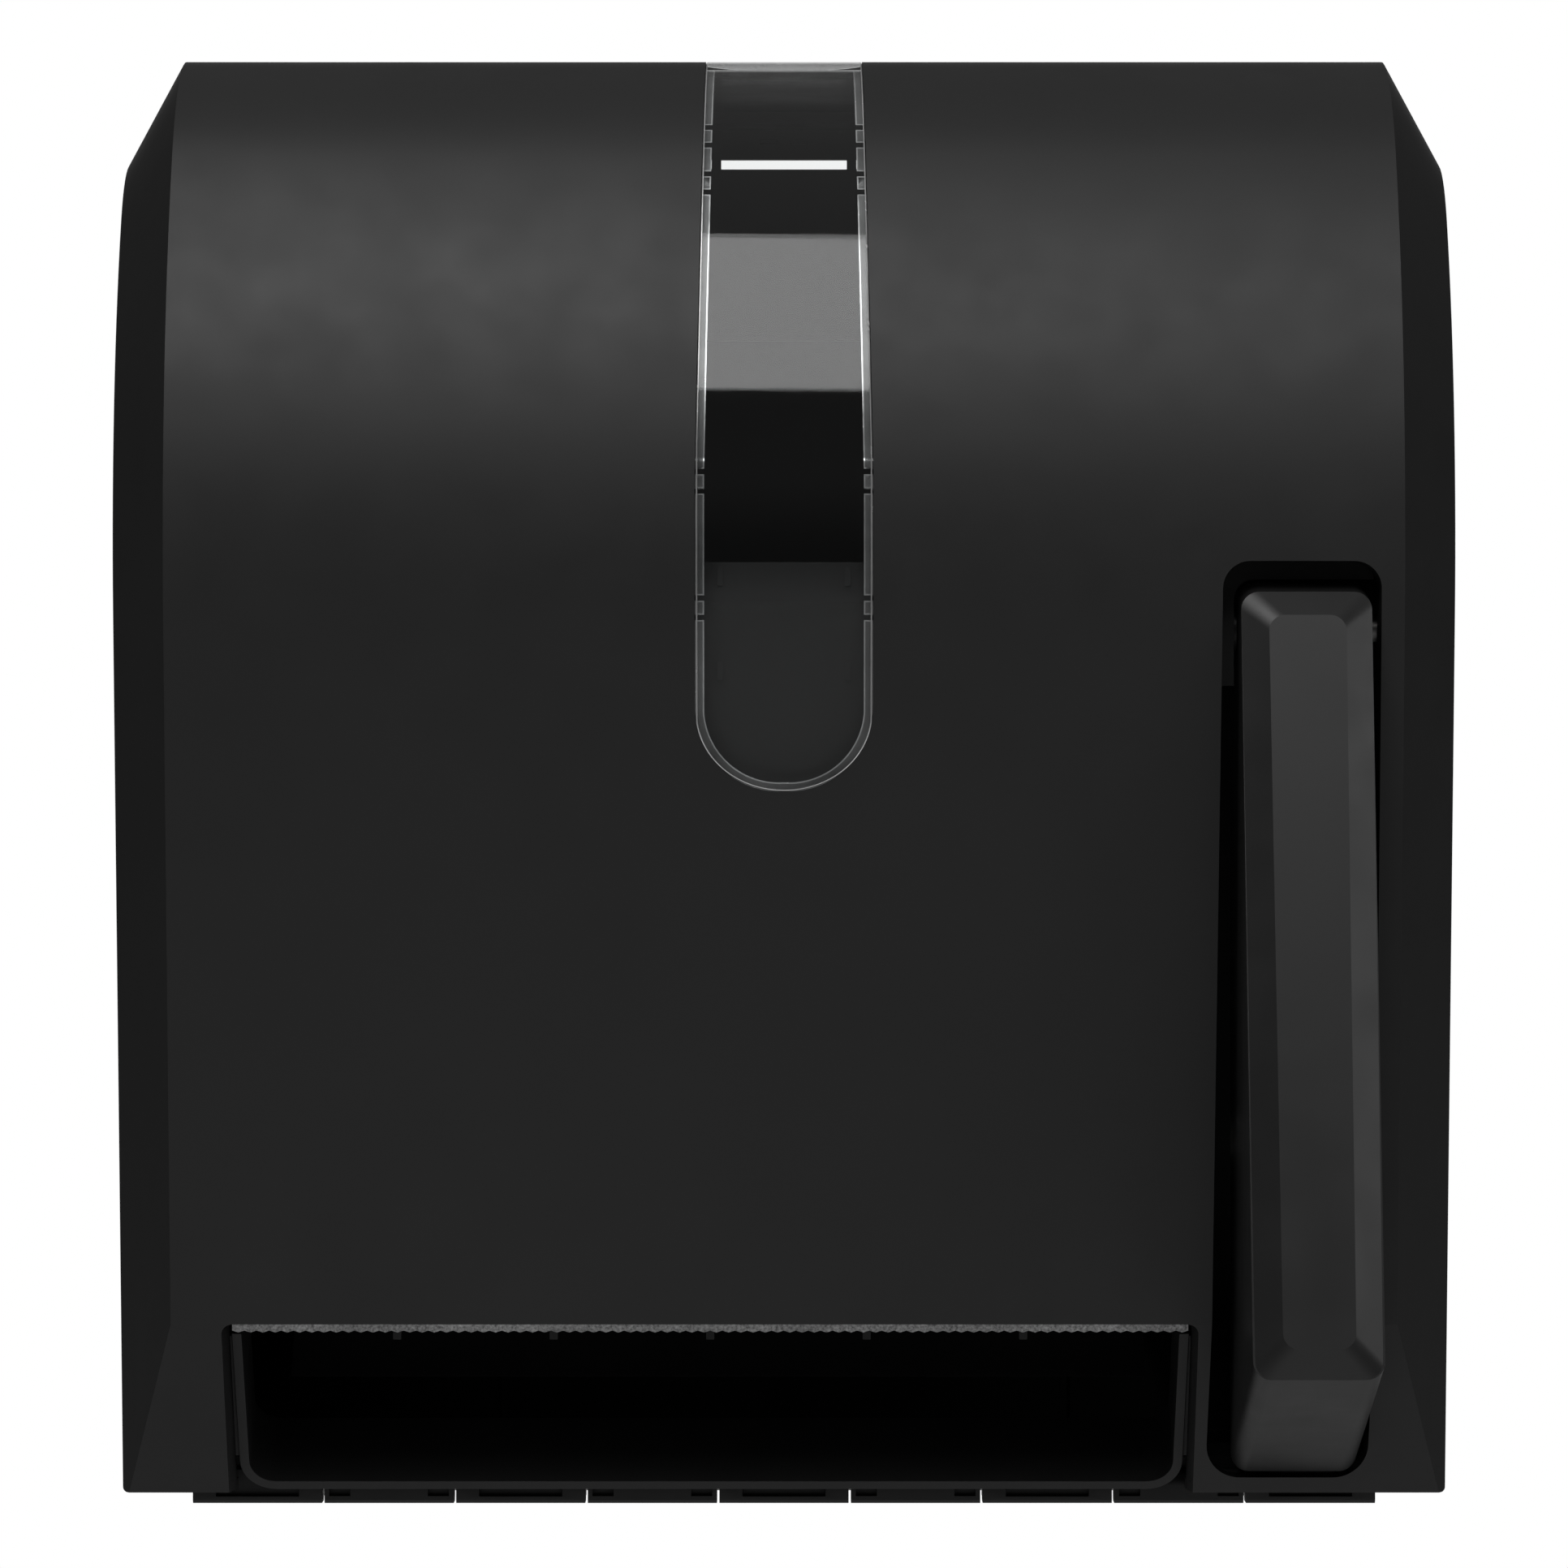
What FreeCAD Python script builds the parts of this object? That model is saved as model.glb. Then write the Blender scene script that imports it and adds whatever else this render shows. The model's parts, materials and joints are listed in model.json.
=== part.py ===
import FreeCAD, Part
import math
import os

V = FreeCAD.Vector

# Lever paper towel dispenser, wall mounted.  Millimetres.
# Frame: X to the user's right, Y into the wall, Z up.  The wall face is y = 0.
# "depth" is measured back from the foremost line of the cover, so the wall is at BODY_DEPTH.

# ---------------------------------------------------------------- overall sizes
TOWEL_WIDTH = 203.0
LEFT_BAY = 45.5             # towel edge to the outside of the left wall
DRIVE_BAY = 81.5            # towel edge to the outside of the right wall, holds lever and gears
BODY_DEPTH = 210.0
TOP_Z = 182.2
BOTTOM_Z = -176.6
WALL = 2.5
FIT = 0.3                   # gap between separate pieces
RUN = 0.05                  # radial running clearance of shafts and pins

# ---------------------------------------------------------------- form of the cover
CROWN_R = 62.0              # arc from the flat top into the front
CROWN_DEPTH = 80.5          # where the flat top ends
BELT_Z = 60.0               # height of the foremost line
LEAN = math.radians(7.6)    # the front leans back below the belt
FACET_TOP_Z = -132.7        # the chin facet starts here
FACET_BOTTOM_DEPTH = 53.0   # and meets the bottom here
CHEEK_WIDTH = 14.4          # bevel between front and sides, across X
CHEEK_DEPTH = 26.0          # and back from the front
FOOT_CORNER = 1.2           # rounding of the lower corners, seen from the front

# ---------------------------------------------------------------- openings of the cover
NOTCH_LEFT_MARGIN = 26.6    # left wall to the towel mouth
NOTCH_RIB = 2.8             # rib between the towel mouth and the lever slot
NOTCH_CORNER = 3.0
NOTCH_DRAFT = 1.4
NOTCH_REVEAL = 9.5
CHEEK_WALL = 2.0            # wall of the mouth's sides
SLOT_MARGIN = 20.0          # right wall to the lever slot
SLOT_WIDTH = 40.2           # at its foot
SLOT_TAPER = 1.7            # the left edge leans in by this much at the top
SLOT_TOP_Z = 54.1
SLOT_BOTTOM_Z = -172.6
SLOT_TOP_CORNER = 6.7
SLOT_BOTTOM_CORNER = 8.5
SLOT_LIP = 2.0              # wall round the slot
SLOT_LIP_DEPTH = 12.0

# ---------------------------------------------------------------- window
WINDOW_HALF = 21.6
WINDOW_TOP_HALF = 19.5
WINDOW_TAPER_Z = 75.0       # the strip narrows above this height
WINDOW_END_Z = -1.8
WINDOW_END_RISE = 19.0      # height of its elliptic lower end
WINDOW_BACK = 103.0         # where it stops on the flat top
WINDOW_BACK_RISE = 12.5     # height of the arc that ends it there
WINDOW_PLATE = 2.0
WINDOW_RIM = 2.2
WINDOW_RIM_DEPTH = 7.0
WINDOW_GAP = 0.15
SNAP_HEIGHTS = (160.0, 147.8, 73.5, 42.8)
SNAP_GAP = 6.0
SNAP_WIDTH = 3.4
SNAP_BARB = 1.2

# ---------------------------------------------------------------- hinge
HINGE_DEPTH = 74.0
HINGE_Z = -176.4
KNUCKLE_R = 4.4
KNUCKLE_EDGE = 0.8          # chamfer of their lower edges
KNUCKLE_COUNT = 9
HINGE_MARGIN = 16.1         # side wall to the first knuckle
KNUCKLE_GAP = 0.6
HINGE_PIN_R = 1.5
KNUCKLE_SLOT = 2.4          # depth of the moulding slots in the knuckles

# ---------------------------------------------------------------- back housing
BACK_WALL = 3.0
RIM_DEPTH = 4.0             # lip that stands on the wall outside the cover's edge
TRAY_DEPTH = 24.0
TRAY_WALL = 3.0
TRAY_GAP = 0.8              # tray to the inside of the cover
SCREW_SPACING_X = 280.0
SCREW_SPACING_Z = 180.0
SCREW_CENTRE_Z = 45.0
SCREW_HOLE_R = 2.75
BACK_SLOT_HALF = 16.9
BACK_SLOT_Z = 166.6
BACK_SLOT_HEIGHT = 2.6
MARK_HALF = 2.3             # half length of the two rests above that slot
MARK_APART = 4.1
MARK_RISE = 1.5
MARK_Z = 172.65
RIB_REACH = 100.0
RIB_APART = 75.0
RIB_HEIGHT = 2.5
RIB_HEIGHTS = (-60.0, 40.0, 120.0)
FLOOR_FRONT = 81.5          # depth where the floor of the tray ends

# ---------------------------------------------------------------- lever and gears
LEVER_WIDTH = 31.7
LEVER_GAP = 2.5             # lever to the right edge of the slot
LEVER_TAPER = 0.2           # each side leans in by this much at the foot
LEVER_TOP_Z = 46.6
LEVER_FOOT_Z = -141.0       # lower edge of the pad
LEVER_REACH = 46.0          # how far that edge stands in front of the cover
LEVER_HEEL_DEPTH = 48.0
LEVER_HEEL_Z = -170.8
LEVER_WALL = 2.4
PAD_TAPER = 0.7             # and each side of the pad by this much
PAD_CORNER = 4.4
PAD_RISE = 3.4
PAD_BEVEL = 6.5
LEVER_NOSE_DEPTH = 14.0     # the top rises up to here
LEVER_NOSE_RISE = 2.6
HOOD_GAP = 4.3              # end of the slot's lip to the hood round the lever's top
HOOD_HEIGHT = 19.0          # its upper edge above the pivot
HOOD_DROP = 14.0            # and its lower end below it
HOOD_CLEAR = 0.8            # hood to the lever's side
PIVOT_DEPTH = 25.0
PIVOT_Z = 38.0
LEVER_SHAFT_R = 4.0
LEVER_HUB_R = 6.5
MODULE = 1.25
PINION_TEETH = 12
SECTOR_TEETH = 214          # teeth that the whole wheel would have
SPARE_TEETH = 5             # cut on the sector beyond those that the stroke needs
PRESSURE_ANGLE = math.radians(25.0)
BACKLASH = 0.30
SECTOR_THICK = 4.0
CENTRES_ANGLE = math.radians(26.5)   # from straight down towards the wall
LEVER_SWING = math.radians(19.0)

# ---------------------------------------------------------------- rollers
FEED_SHAFT_R = 3.0
FEED_DRUM_R = 16.0
FEED_GRIP_R = 18.0
FEED_GRIP_COUNT = 3
FEED_GRIP_WIDTH = 46.0
PRESSURE_R = 9.8
PRESSURE_CORE_R = 7.5
PRESSURE_SHAFT_R = 2.5
NIP = 0.3

# ---------------------------------------------------------------- frames and roll holder
FRAME_THICK = 2.5
LEFT_FRAME_GAP = 6.0        # towel edge to the left frame
RIGHT_FRAME_GAP = 8.5
FRAME_BOTTOM_Z = -136.0
BUSH_R = 6.0
BUSH_FLANGE_R = 8.5
BLOCK_HALF = 6.5            # half height of the pressure roller's bearing blocks
GUIDE_LENGTH = 20.0         # roller axis to the end of the blocks' guide slot
ROLL_R = 98.0
ARM_THICK = 4.0
ARM_HALF = 13.0
HUB_R = 18.6
HUB_FLANGE_R = 27.0
HUB_PLUG = 11.0
ARM_PIN_R = 2.0
ARM_PIVOT_BACK = 12.0       # wall face to the arm's upright pin

# ---------------------------------------------------------------- inner panel, tear bar, chute
PANEL_INSET = 8.0
PANEL_THICK = 2.0
PANEL_TOP_Z = 54.0
PANEL_BOTTOM_Z = -131.0
TEAR_THICK = 1.0
TEAR_TOP_Z = -116.0
TEAR_TIP_Z = -135.2
TOOTH_PITCH = 3.0
TOOTH_HEIGHT = 0.5
TAB_COUNT = 5
TAB_PITCH = 38.6
TAB_WIDTH = 2.0
TAB_END_Z = -137.0
CHUTE_SETBACK = 8.0         # chin facet to the chute's rim
CHUTE_WALL = 2.4
CHUTE_LENGTH = 26.0
CHUTE_CORNER = 9.0
CHUTE_TAPER = 0.6           # its side walls lean in by this much at the bottom
CHUTE_GAP = 0.5             # chute to the inner end of the mouth's side walls
CHUTE_WALL_TOP = 43.5
CHUTE_EAR = 2.4             # reach of its ears behind those walls

# ---------------------------------------------------------------- lock
LOCK_FROM_RIGHT = 95.0
LOCK_BACK = 36.0            # wall face to the lock's axis
LOCK_BARREL_R = 7.0
LOCK_HEAD_R = 9.0
LOCK_HEAD = 1.2
LOCK_PLUG_R = 4.6
CAM_LENGTH = 18.0
CAM_SEAT_R = 2.6
CAM_THICK = 2.0
CAM_GAP = 1.0               # below the tray's top flange

# ---------------------------------------------------------------- places worked out from the sizes
WIDTH = TOWEL_WIDTH + LEFT_BAY + DRIVE_BAY
HALF = WIDTH / 2
KNUCKLE_SPAN = WIDTH - 2 * HINGE_MARGIN
TOWEL_LEFT = LEFT_BAY - HALF
TOWEL_RIGHT = HALF - DRIVE_BAY
BELT_RISE = TOP_Z - BELT_Z
BELT_R = (CROWN_R ** 2 - CROWN_DEPTH ** 2 - (BELT_RISE - CROWN_R) ** 2) / 2 / (CROWN_R - CROWN_DEPTH)
CHEEK_NORM = math.hypot(CHEEK_WIDTH, CHEEK_DEPTH)
SLOT_RIGHT = HALF - SLOT_MARGIN
SLOT_LEFT = SLOT_RIGHT - SLOT_WIDTH
NOTCH_RIGHT = SLOT_LEFT - NOTCH_RIB
NOTCH_LEFT = NOTCH_LEFT_MARGIN - HALF
LEVER_RIGHT = SLOT_RIGHT - LEVER_GAP
LEVER_LEFT = LEVER_RIGHT - LEVER_WIDTH
LEFT_FRAME_X = TOWEL_LEFT - LEFT_FRAME_GAP - FRAME_THICK
RIGHT_FRAME_X = TOWEL_RIGHT + RIGHT_FRAME_GAP
SECTOR_X = RIGHT_FRAME_X + FRAME_THICK + 2.5
SECTOR_R = MODULE * SECTOR_TEETH / 2
PINION_R = MODULE * PINION_TEETH / 2
CENTRES = SECTOR_R + PINION_R
SECTOR_TEETH_CUT = math.ceil(LEVER_SWING * SECTOR_TEETH / (2 * math.pi)) + SPARE_TEETH
FEED_DEPTH = PIVOT_DEPTH + CENTRES * math.sin(CENTRES_ANGLE)
FEED_Z = PIVOT_Z - CENTRES * math.cos(CENTRES_ANGLE)
PRESSURE_DEPTH = FEED_DEPTH + FEED_GRIP_R + NIP + PRESSURE_R
PRESSURE_Z = FEED_Z
ROLL_DEPTH = BODY_DEPTH - BACK_WALL - 2.0 - ROLL_R
ROLL_Z = TOP_Z - WALL - 3.7 - ROLL_R
BRACKET_X = SLOT_RIGHT + SLOT_LIP + 0.8
TRAY_HALF = HALF - WALL - TRAY_GAP
TRAY_TOP_Z = TOP_Z - WALL - TRAY_GAP
COVER_BACK = BODY_DEPTH - RIM_DEPTH - FIT
LOCK_X = HALF - LOCK_FROM_RIGHT
CAM_TOP_Z = TRAY_TOP_Z - TRAY_WALL - CAM_GAP


# ================================================================ drawing helpers
def y_at(depth):
    return depth - BODY_DEPTH


def side_plane(x):
    """Maps (depth, z) to space on the plane X = x."""
    return lambda u, v: V(x, y_at(u), v)


def front_plane(depth):
    """Maps (x, z) to space at one depth."""
    return lambda u, v: V(u, y_at(depth), v)


def top_plane(z):
    """Maps (x, depth) to space at one height."""
    return lambda u, v: V(u, y_at(v), z)


def outline(corners, place):
    """Face of a polygon; each corner is (u, v) or (u, v, radius)."""
    count = len(corners)
    edges = []
    starts = []
    ends = []
    for i, corner in enumerate(corners):
        here = V(corner[0], corner[1], 0)
        radius = corner[2] if len(corner) > 2 else 0.0
        if radius <= 0:
            starts.append(here)
            ends.append(here)
            edges.append(None)
            continue
        before = V(corners[i - 1][0], corners[i - 1][1], 0).sub(here)
        after = V(corners[(i + 1) % count][0], corners[(i + 1) % count][1], 0).sub(here)
        before.normalize()
        after.normalize()
        half = before.getAngle(after) / 2
        reach = radius / math.tan(half)
        bisector = before.add(after)
        bisector.normalize()
        centre = here.add(bisector * (radius / math.sin(half)))
        starts.append(here.add(before * reach))
        ends.append(here.add(after * reach))
        edges.append(centre.sub(bisector * radius))
    wire = []
    for i in range(count):
        if edges[i] is not None:
            a, m, b = [place(p.x, p.y) for p in (starts[i], edges[i], ends[i])]
            wire.append(Part.Arc(a, m, b).toShape())
        a = place(ends[i].x, ends[i].y)
        b = place(starts[(i + 1) % count].x, starts[(i + 1) % count].y)
        if a.distanceToPoint(b) > 1e-6:
            wire.append(Part.makeLine(a, b))
    return Part.Face(Part.Wire(wire))


def plate_x(corners, x0, x1):
    return outline(corners, side_plane(x0)).extrude(V(x1 - x0, 0, 0))


def plate_y(corners, depth0, depth1):
    return outline(corners, front_plane(depth0)).extrude(V(0, depth1 - depth0, 0))


def plate_z(corners, z0, z1):
    return outline(corners, top_plane(z0)).extrude(V(0, 0, z1 - z0))


def block(x0, x1, depth0, depth1, z0, z1):
    return Part.makeBox(x1 - x0, depth1 - depth0, z1 - z0, V(x0, y_at(depth0), z0))


def rod_x(radius, x0, x1, depth, z):
    return Part.makeCylinder(radius, x1 - x0, V(x0, y_at(depth), z), V(1, 0, 0))


def rod_y(radius, x, z, depth0, depth1):
    return Part.makeCylinder(radius, depth1 - depth0, V(x, y_at(depth0), z), V(0, 1, 0))


def rod_z(radius, x, depth, z0, z1):
    return Part.makeCylinder(radius, z1 - z0, V(x, y_at(depth), z0), V(0, 0, 1))


def tube_x(outer, inner, x0, x1, depth, z):
    return rod_x(outer, x0, x1, depth, z).cut(rod_x(inner, x0 - 1, x1 + 1, depth, z))


def fuse(shapes):
    whole = shapes[0].multiFuse(shapes[1:])
    return whole.removeSplitter()


def save(shape, node):
    shape.exportStep("parts/" + node + ".step")


# ================================================================ form shared by cover and inner pieces
def front_depth(z, inset=0.0):
    """Depth of the leaning front plane, moved inwards by inset, at height z."""
    end_depth = BELT_R - (BELT_R - inset) * math.cos(LEAN)
    end_z = BELT_Z - (BELT_R - inset) * math.sin(LEAN)
    return end_depth + (end_z - z) * math.tan(LEAN)


def section(x, inset, floor_z, back):
    """Closed side section of the body at X = x, its outline moved inwards by inset."""
    place = side_plane(x)
    crown = V(CROWN_DEPTH, TOP_Z - CROWN_R, 0)
    belt = V(BELT_R, BELT_Z, 0)
    join_way = crown.sub(belt)
    join_way.normalize()
    crown_mid = join_way.add(V(0, 1, 0))
    crown_mid.normalize()
    lean_way = V(-math.cos(LEAN), -math.sin(LEAN), 0)
    belt_mid = join_way.add(lean_way)
    belt_mid.normalize()
    top = crown.add(V(0, CROWN_R - inset, 0))
    mid1 = crown.add(crown_mid * (CROWN_R - inset))
    join = crown.add(join_way * (CROWN_R - inset))
    mid2 = belt.add(belt_mid * (BELT_R - inset))
    brow = belt.add(lean_way * (BELT_R - inset))
    chin = V(front_depth(floor_z, inset), floor_z, 0)
    rear = V(back, floor_z, 0)
    rear_top = V(back, TOP_Z - inset, 0)
    top, mid1, join, mid2, brow, chin, rear, rear_top = [
        place(p.x, p.y) for p in (top, mid1, join, mid2, brow, chin, rear, rear_top)]
    edges = [Part.makeLine(rear_top, top),
             Part.Arc(top, mid1, join).toShape(),
             Part.Arc(join, mid2, brow).toShape(),
             Part.makeLine(brow, chin),
             Part.makeLine(chin, rear),
             Part.makeLine(rear, rear_top)]
    return Part.Wire(edges)


def facet_frame():
    """Foot of the chin facet, its way up and its way inwards, all as (depth, z)."""
    head = V(front_depth(FACET_TOP_Z), FACET_TOP_Z, 0)
    foot = V(FACET_BOTTOM_DEPTH, BOTTOM_Z, 0)
    up = head.sub(foot)
    up.normalize()
    inward = V(up.y, -up.x, 0)
    return foot, up, inward


def hull(inset, back=BODY_DEPTH + 20, floor_z=None):
    """Solid inside the cover's outer faces, every face moved inwards by inset."""
    if floor_z is None:
        floor_z = BOTTOM_Z + inset
    panel_half = HALF - CHEEK_WIDTH + inset * (CHEEK_WIDTH - CHEEK_NORM) / CHEEK_DEPTH
    side_half = HALF - inset
    cheek_inset = CHEEK_DEPTH + inset * (CHEEK_NORM - CHEEK_DEPTH) / CHEEK_WIDTH
    middle = Part.Face(section(-panel_half, inset, floor_z, back)).extrude(V(2 * panel_half, 0, 0))
    pieces = [middle]
    for side in (-1, 1):
        near = section(side * panel_half, inset, floor_z, back)
        far = section(side * side_half, cheek_inset, floor_z, back)
        pieces.append(Part.makeLoft([near, far], True, True))
    body = pieces[0].multiFuse(pieces[1:])
    foot, up, inward = facet_frame()
    start = foot.add(inward * inset)
    low = start.sub(up * 60)
    high = start.add(up * 120)
    front = inward * -200
    corners = [(p.x, p.y) for p in (low, high, high.add(front), low.add(front))]
    return body.cut(plate_x(corners, -HALF - 10, HALF + 10))


def chin_point(along, deep):
    """(depth, z) of a point 'along' up the chin facet and 'deep' behind it."""
    foot, up, inward = facet_frame()
    p = foot.add(up * along).add(inward * deep)
    return p.x, p.y


# ================================================================ cover
def window_outline(grow, depth0, depth1):
    """Column through the front and top with the window's outline, grown by 'grow'."""
    half = WINDOW_HALF + grow
    top_half = WINDOW_TOP_HALF + grow
    base = WINDOW_END_Z + WINDOW_END_RISE
    high = TOP_Z + 20
    lean = (top_half - half) / (TOP_Z - WINDOW_TAPER_Z)
    high_half = half + lean * (high - WINDOW_TAPER_Z)
    place = front_plane(depth0)
    rise = WINDOW_END_RISE + grow
    lower = V(0, y_at(depth0), base - rise)
    turn = math.sqrt(0.5)
    left_mid = V(-half * turn, y_at(depth0), base - rise * turn)
    right_mid = V(half * turn, y_at(depth0), base - rise * turn)
    edges = [Part.makeLine(place(-high_half, high), place(-half, WINDOW_TAPER_Z)),
             Part.makeLine(place(-half, WINDOW_TAPER_Z), place(-half, base)),
             Part.Arc(place(-half, base), left_mid, lower).toShape(),
             Part.Arc(lower, right_mid, place(half, base)).toShape(),
             Part.makeLine(place(half, base), place(half, WINDOW_TAPER_Z)),
             Part.makeLine(place(half, WINDOW_TAPER_Z), place(high_half, high)),
             Part.makeLine(place(high_half, high), place(-high_half, high))]
    return Part.Face(Part.Wire(edges)).extrude(V(0, depth1 - depth0, 0))


def window_plan(grow):
    """Column through the top: straight sides and an arc at the back, grown by 'grow'."""
    side = WINDOW_HALF + 10.0
    corner = WINDOW_TOP_HALF + grow
    back = WINDOW_BACK + grow
    front = -WINDOW_BACK
    place = top_plane(0.0)
    shoulder = back - WINDOW_BACK_RISE
    edges = [Part.makeLine(place(-side, front), place(side, front)),
             Part.makeLine(place(side, front), place(side, shoulder)),
             Part.makeLine(place(side, shoulder), place(corner, shoulder)),
             Part.Arc(place(corner, shoulder), place(0, back), place(-corner, shoulder)).toShape(),
             Part.makeLine(place(-corner, shoulder), place(-side, shoulder)),
             Part.makeLine(place(-side, shoulder), place(-side, front))]
    column = Part.Face(Part.Wire(edges)).extrude(V(0, 0, 2 * TOP_Z))
    column.translate(V(0, 0, WINDOW_END_Z - 40))
    return column


def window_column(grow):
    return window_outline(grow, -5, WINDOW_BACK + grow + 1).common(window_plan(grow))


def slot_column(grow, depth0, depth1):
    corners = [(SLOT_LEFT - grow, SLOT_BOTTOM_Z - grow, SLOT_BOTTOM_CORNER + grow),
               (SLOT_RIGHT + grow, SLOT_BOTTOM_Z - grow, SLOT_BOTTOM_CORNER + grow),
               (SLOT_RIGHT + grow, SLOT_TOP_Z + grow, SLOT_TOP_CORNER + grow),
               (SLOT_LEFT + SLOT_TAPER - grow, SLOT_TOP_Z + grow, SLOT_TOP_CORNER + grow)]
    return plate_y(corners, depth0, depth1)


def mouth_cheek(side):
    """Drafted side wall of the towel mouth, running back from the chin facet."""
    edge = NOTCH_LEFT if side < 0 else NOTCH_RIGHT
    inner = edge - side * NOTCH_DRAFT
    foot, up, inward = facet_frame()

    def place(x, deep):
        p = foot.sub(up * 10).add(inward * deep)
        return V(x, y_at(p.x), p.y)

    outside = side * CHEEK_WALL
    corners = [(edge, 0.0), (inner, NOTCH_REVEAL), (inner + outside, NOTCH_REVEAL), (edge + outside, 0.0)]
    face = outline(corners, place)
    return face.extrude(V(0, up.x, up.y) * 66)


def knuckle_ends(index):
    pitch = KNUCKLE_SPAN / KNUCKLE_COUNT
    start = index * pitch - KNUCKLE_SPAN / 2
    return start + KNUCKLE_GAP / 2, start + pitch - KNUCKLE_GAP / 2


def knuckle(index, slots):
    """Hinge knuckle with a flat foot and front, moulding slots and a bore for the pin."""
    x0, x1 = knuckle_ends(index)
    r = KNUCKLE_R
    edge = KNUCKLE_EDGE
    corners = [(HINGE_DEPTH - r, HINGE_Z - r + edge), (HINGE_DEPTH - r + edge, HINGE_Z - r),
               (HINGE_DEPTH + r - edge, HINGE_Z - r), (HINGE_DEPTH + r, HINGE_Z - r + edge),
               (HINGE_DEPTH + r, HINGE_Z + r, r * 0.98), (HINGE_DEPTH - r, HINGE_Z + r, r * 0.98)]
    body = plate_x(corners, x0, x1)
    for a, b in slots:
        body = body.cut(block(x0 + a, x0 + b, HINGE_DEPTH - r - 1, HINGE_DEPTH - r + KNUCKLE_SLOT,
                              HINGE_Z - 2.6, HINGE_Z + r + 1))
    return body


def knuckle_slots(index):
    x0, x1 = knuckle_ends(index)
    length = x1 - x0
    if index % 2 == 0:
        return [(length * 0.18, length * 0.82)]
    return [(1.2, length * 0.2), (length * 0.8, length - 1.2)]


def hinge_bore():
    return rod_x(HINGE_PIN_R + RUN, -KNUCKLE_SPAN / 2 - 1, KNUCKLE_SPAN / 2 + 1, HINGE_DEPTH, HINGE_Z)


def front_column():
    """Column with the cover's width and height, its lower corners rounded."""
    corners = [(-HALF, BOTTOM_Z, FOOT_CORNER), (HALF, BOTTOM_Z, FOOT_CORNER),
               (HALF, TOP_Z + 5), (-HALF, TOP_Z + 5)]
    return plate_y(corners, -5, BODY_DEPTH + 5)


def cover_shell():
    outer = hull(0.0, back=COVER_BACK).common(front_column())
    shell = outer.cut(hull(WALL))
    open_floor = block(-HALF + WALL, HALF - WALL, HINGE_DEPTH - KNUCKLE_R - 1.6, BODY_DEPTH,
                       BOTTOM_Z - 1, BOTTOM_Z + WALL + 1)
    shell = shell.cut(open_floor)
    lip = slot_column(SLOT_LIP, -5, HINGE_DEPTH).cut(slot_column(0, -6, HINGE_DEPTH + 1))
    lip = lip.common(outer).cut(hull(SLOT_LIP_DEPTH, floor_z=BOTTOM_Z - 1))
    cheeks = [mouth_cheek(side).common(outer) for side in (-1, 1)]
    clear_z = HINGE_Z + KNUCKLE_R + FIT
    wedge = [(HINGE_DEPTH + 0.5, clear_z), (HINGE_DEPTH + 5.5, clear_z),
             (HINGE_DEPTH + 5.5, clear_z + 5.3), (HINGE_DEPTH + 0.5, clear_z + 2.3)]
    beam = plate_x(wedge, -HALF + 1, HALF - 1)
    gussets = []
    for side in (-1, 1):
        x0, x1 = sorted((side * (HALF - 1), side * (KNUCKLE_SPAN / 2 + 1)))
        gussets.append(block(x0, x1, FACET_BOTTOM_DEPTH + 2, HINGE_DEPTH + 5.5, BOTTOM_Z, clear_z + 2.3))
    knuckles = []
    for i in range(1, KNUCKLE_COUNT, 2):
        x0, x1 = knuckle_ends(i)
        knuckles.append(knuckle(i, knuckle_slots(i)))
        knuckles.append(block(x0, x1, HINGE_DEPTH + 0.5, HINGE_DEPTH + 3.6, HINGE_Z, clear_z + 1.2))
    shell = fuse([shell, lip, beam] + cheeks + gussets + knuckles)
    deep_mouth = []
    for deep in (-1.0, NOTCH_REVEAL + 0.5):
        inner = NOTCH_DRAFT * max(deep, 0.0) / NOTCH_REVEAL
        deep_mouth.append(mouth_section(inner, deep))
    shell = shell.cut(Part.makeLoft(deep_mouth, True, True))
    mouth_floor = block(NOTCH_LEFT + NOTCH_DRAFT, NOTCH_RIGHT - NOTCH_DRAFT, FACET_BOTTOM_DEPTH - 5,
                        HINGE_DEPTH - KNUCKLE_R - 0.5, BOTTOM_Z - 1, BOTTOM_Z + WALL + 1)
    shell = shell.cut(mouth_floor)
    shell = shell.cut(slot_column(0, -5, FACET_BOTTOM_DEPTH + 12))
    shell = shell.cut(window_column(WINDOW_GAP))
    lock = rod_z(LOCK_BARREL_R + RUN, LOCK_X, BODY_DEPTH - LOCK_BACK, TOP_Z - 20, TOP_Z + 1)
    return shell.cut(lock).cut(hinge_bore())


def mouth_section(draft, deep):
    """Outline of the towel mouth on the plane 'deep' behind the chin facet."""
    foot, up, inward = facet_frame()
    low = -12.0
    high = (FACET_TOP_Z - BOTTOM_Z) / up.y

    def place(x, along):
        depth, z = chin_point(along, deep)
        return V(x, y_at(depth), z)

    left = NOTCH_LEFT + draft
    right = NOTCH_RIGHT - draft
    corners = [(left, low), (right, low), (right, high, NOTCH_CORNER), (left, high, NOTCH_CORNER)]
    return outline(corners, place).OuterWire


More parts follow.
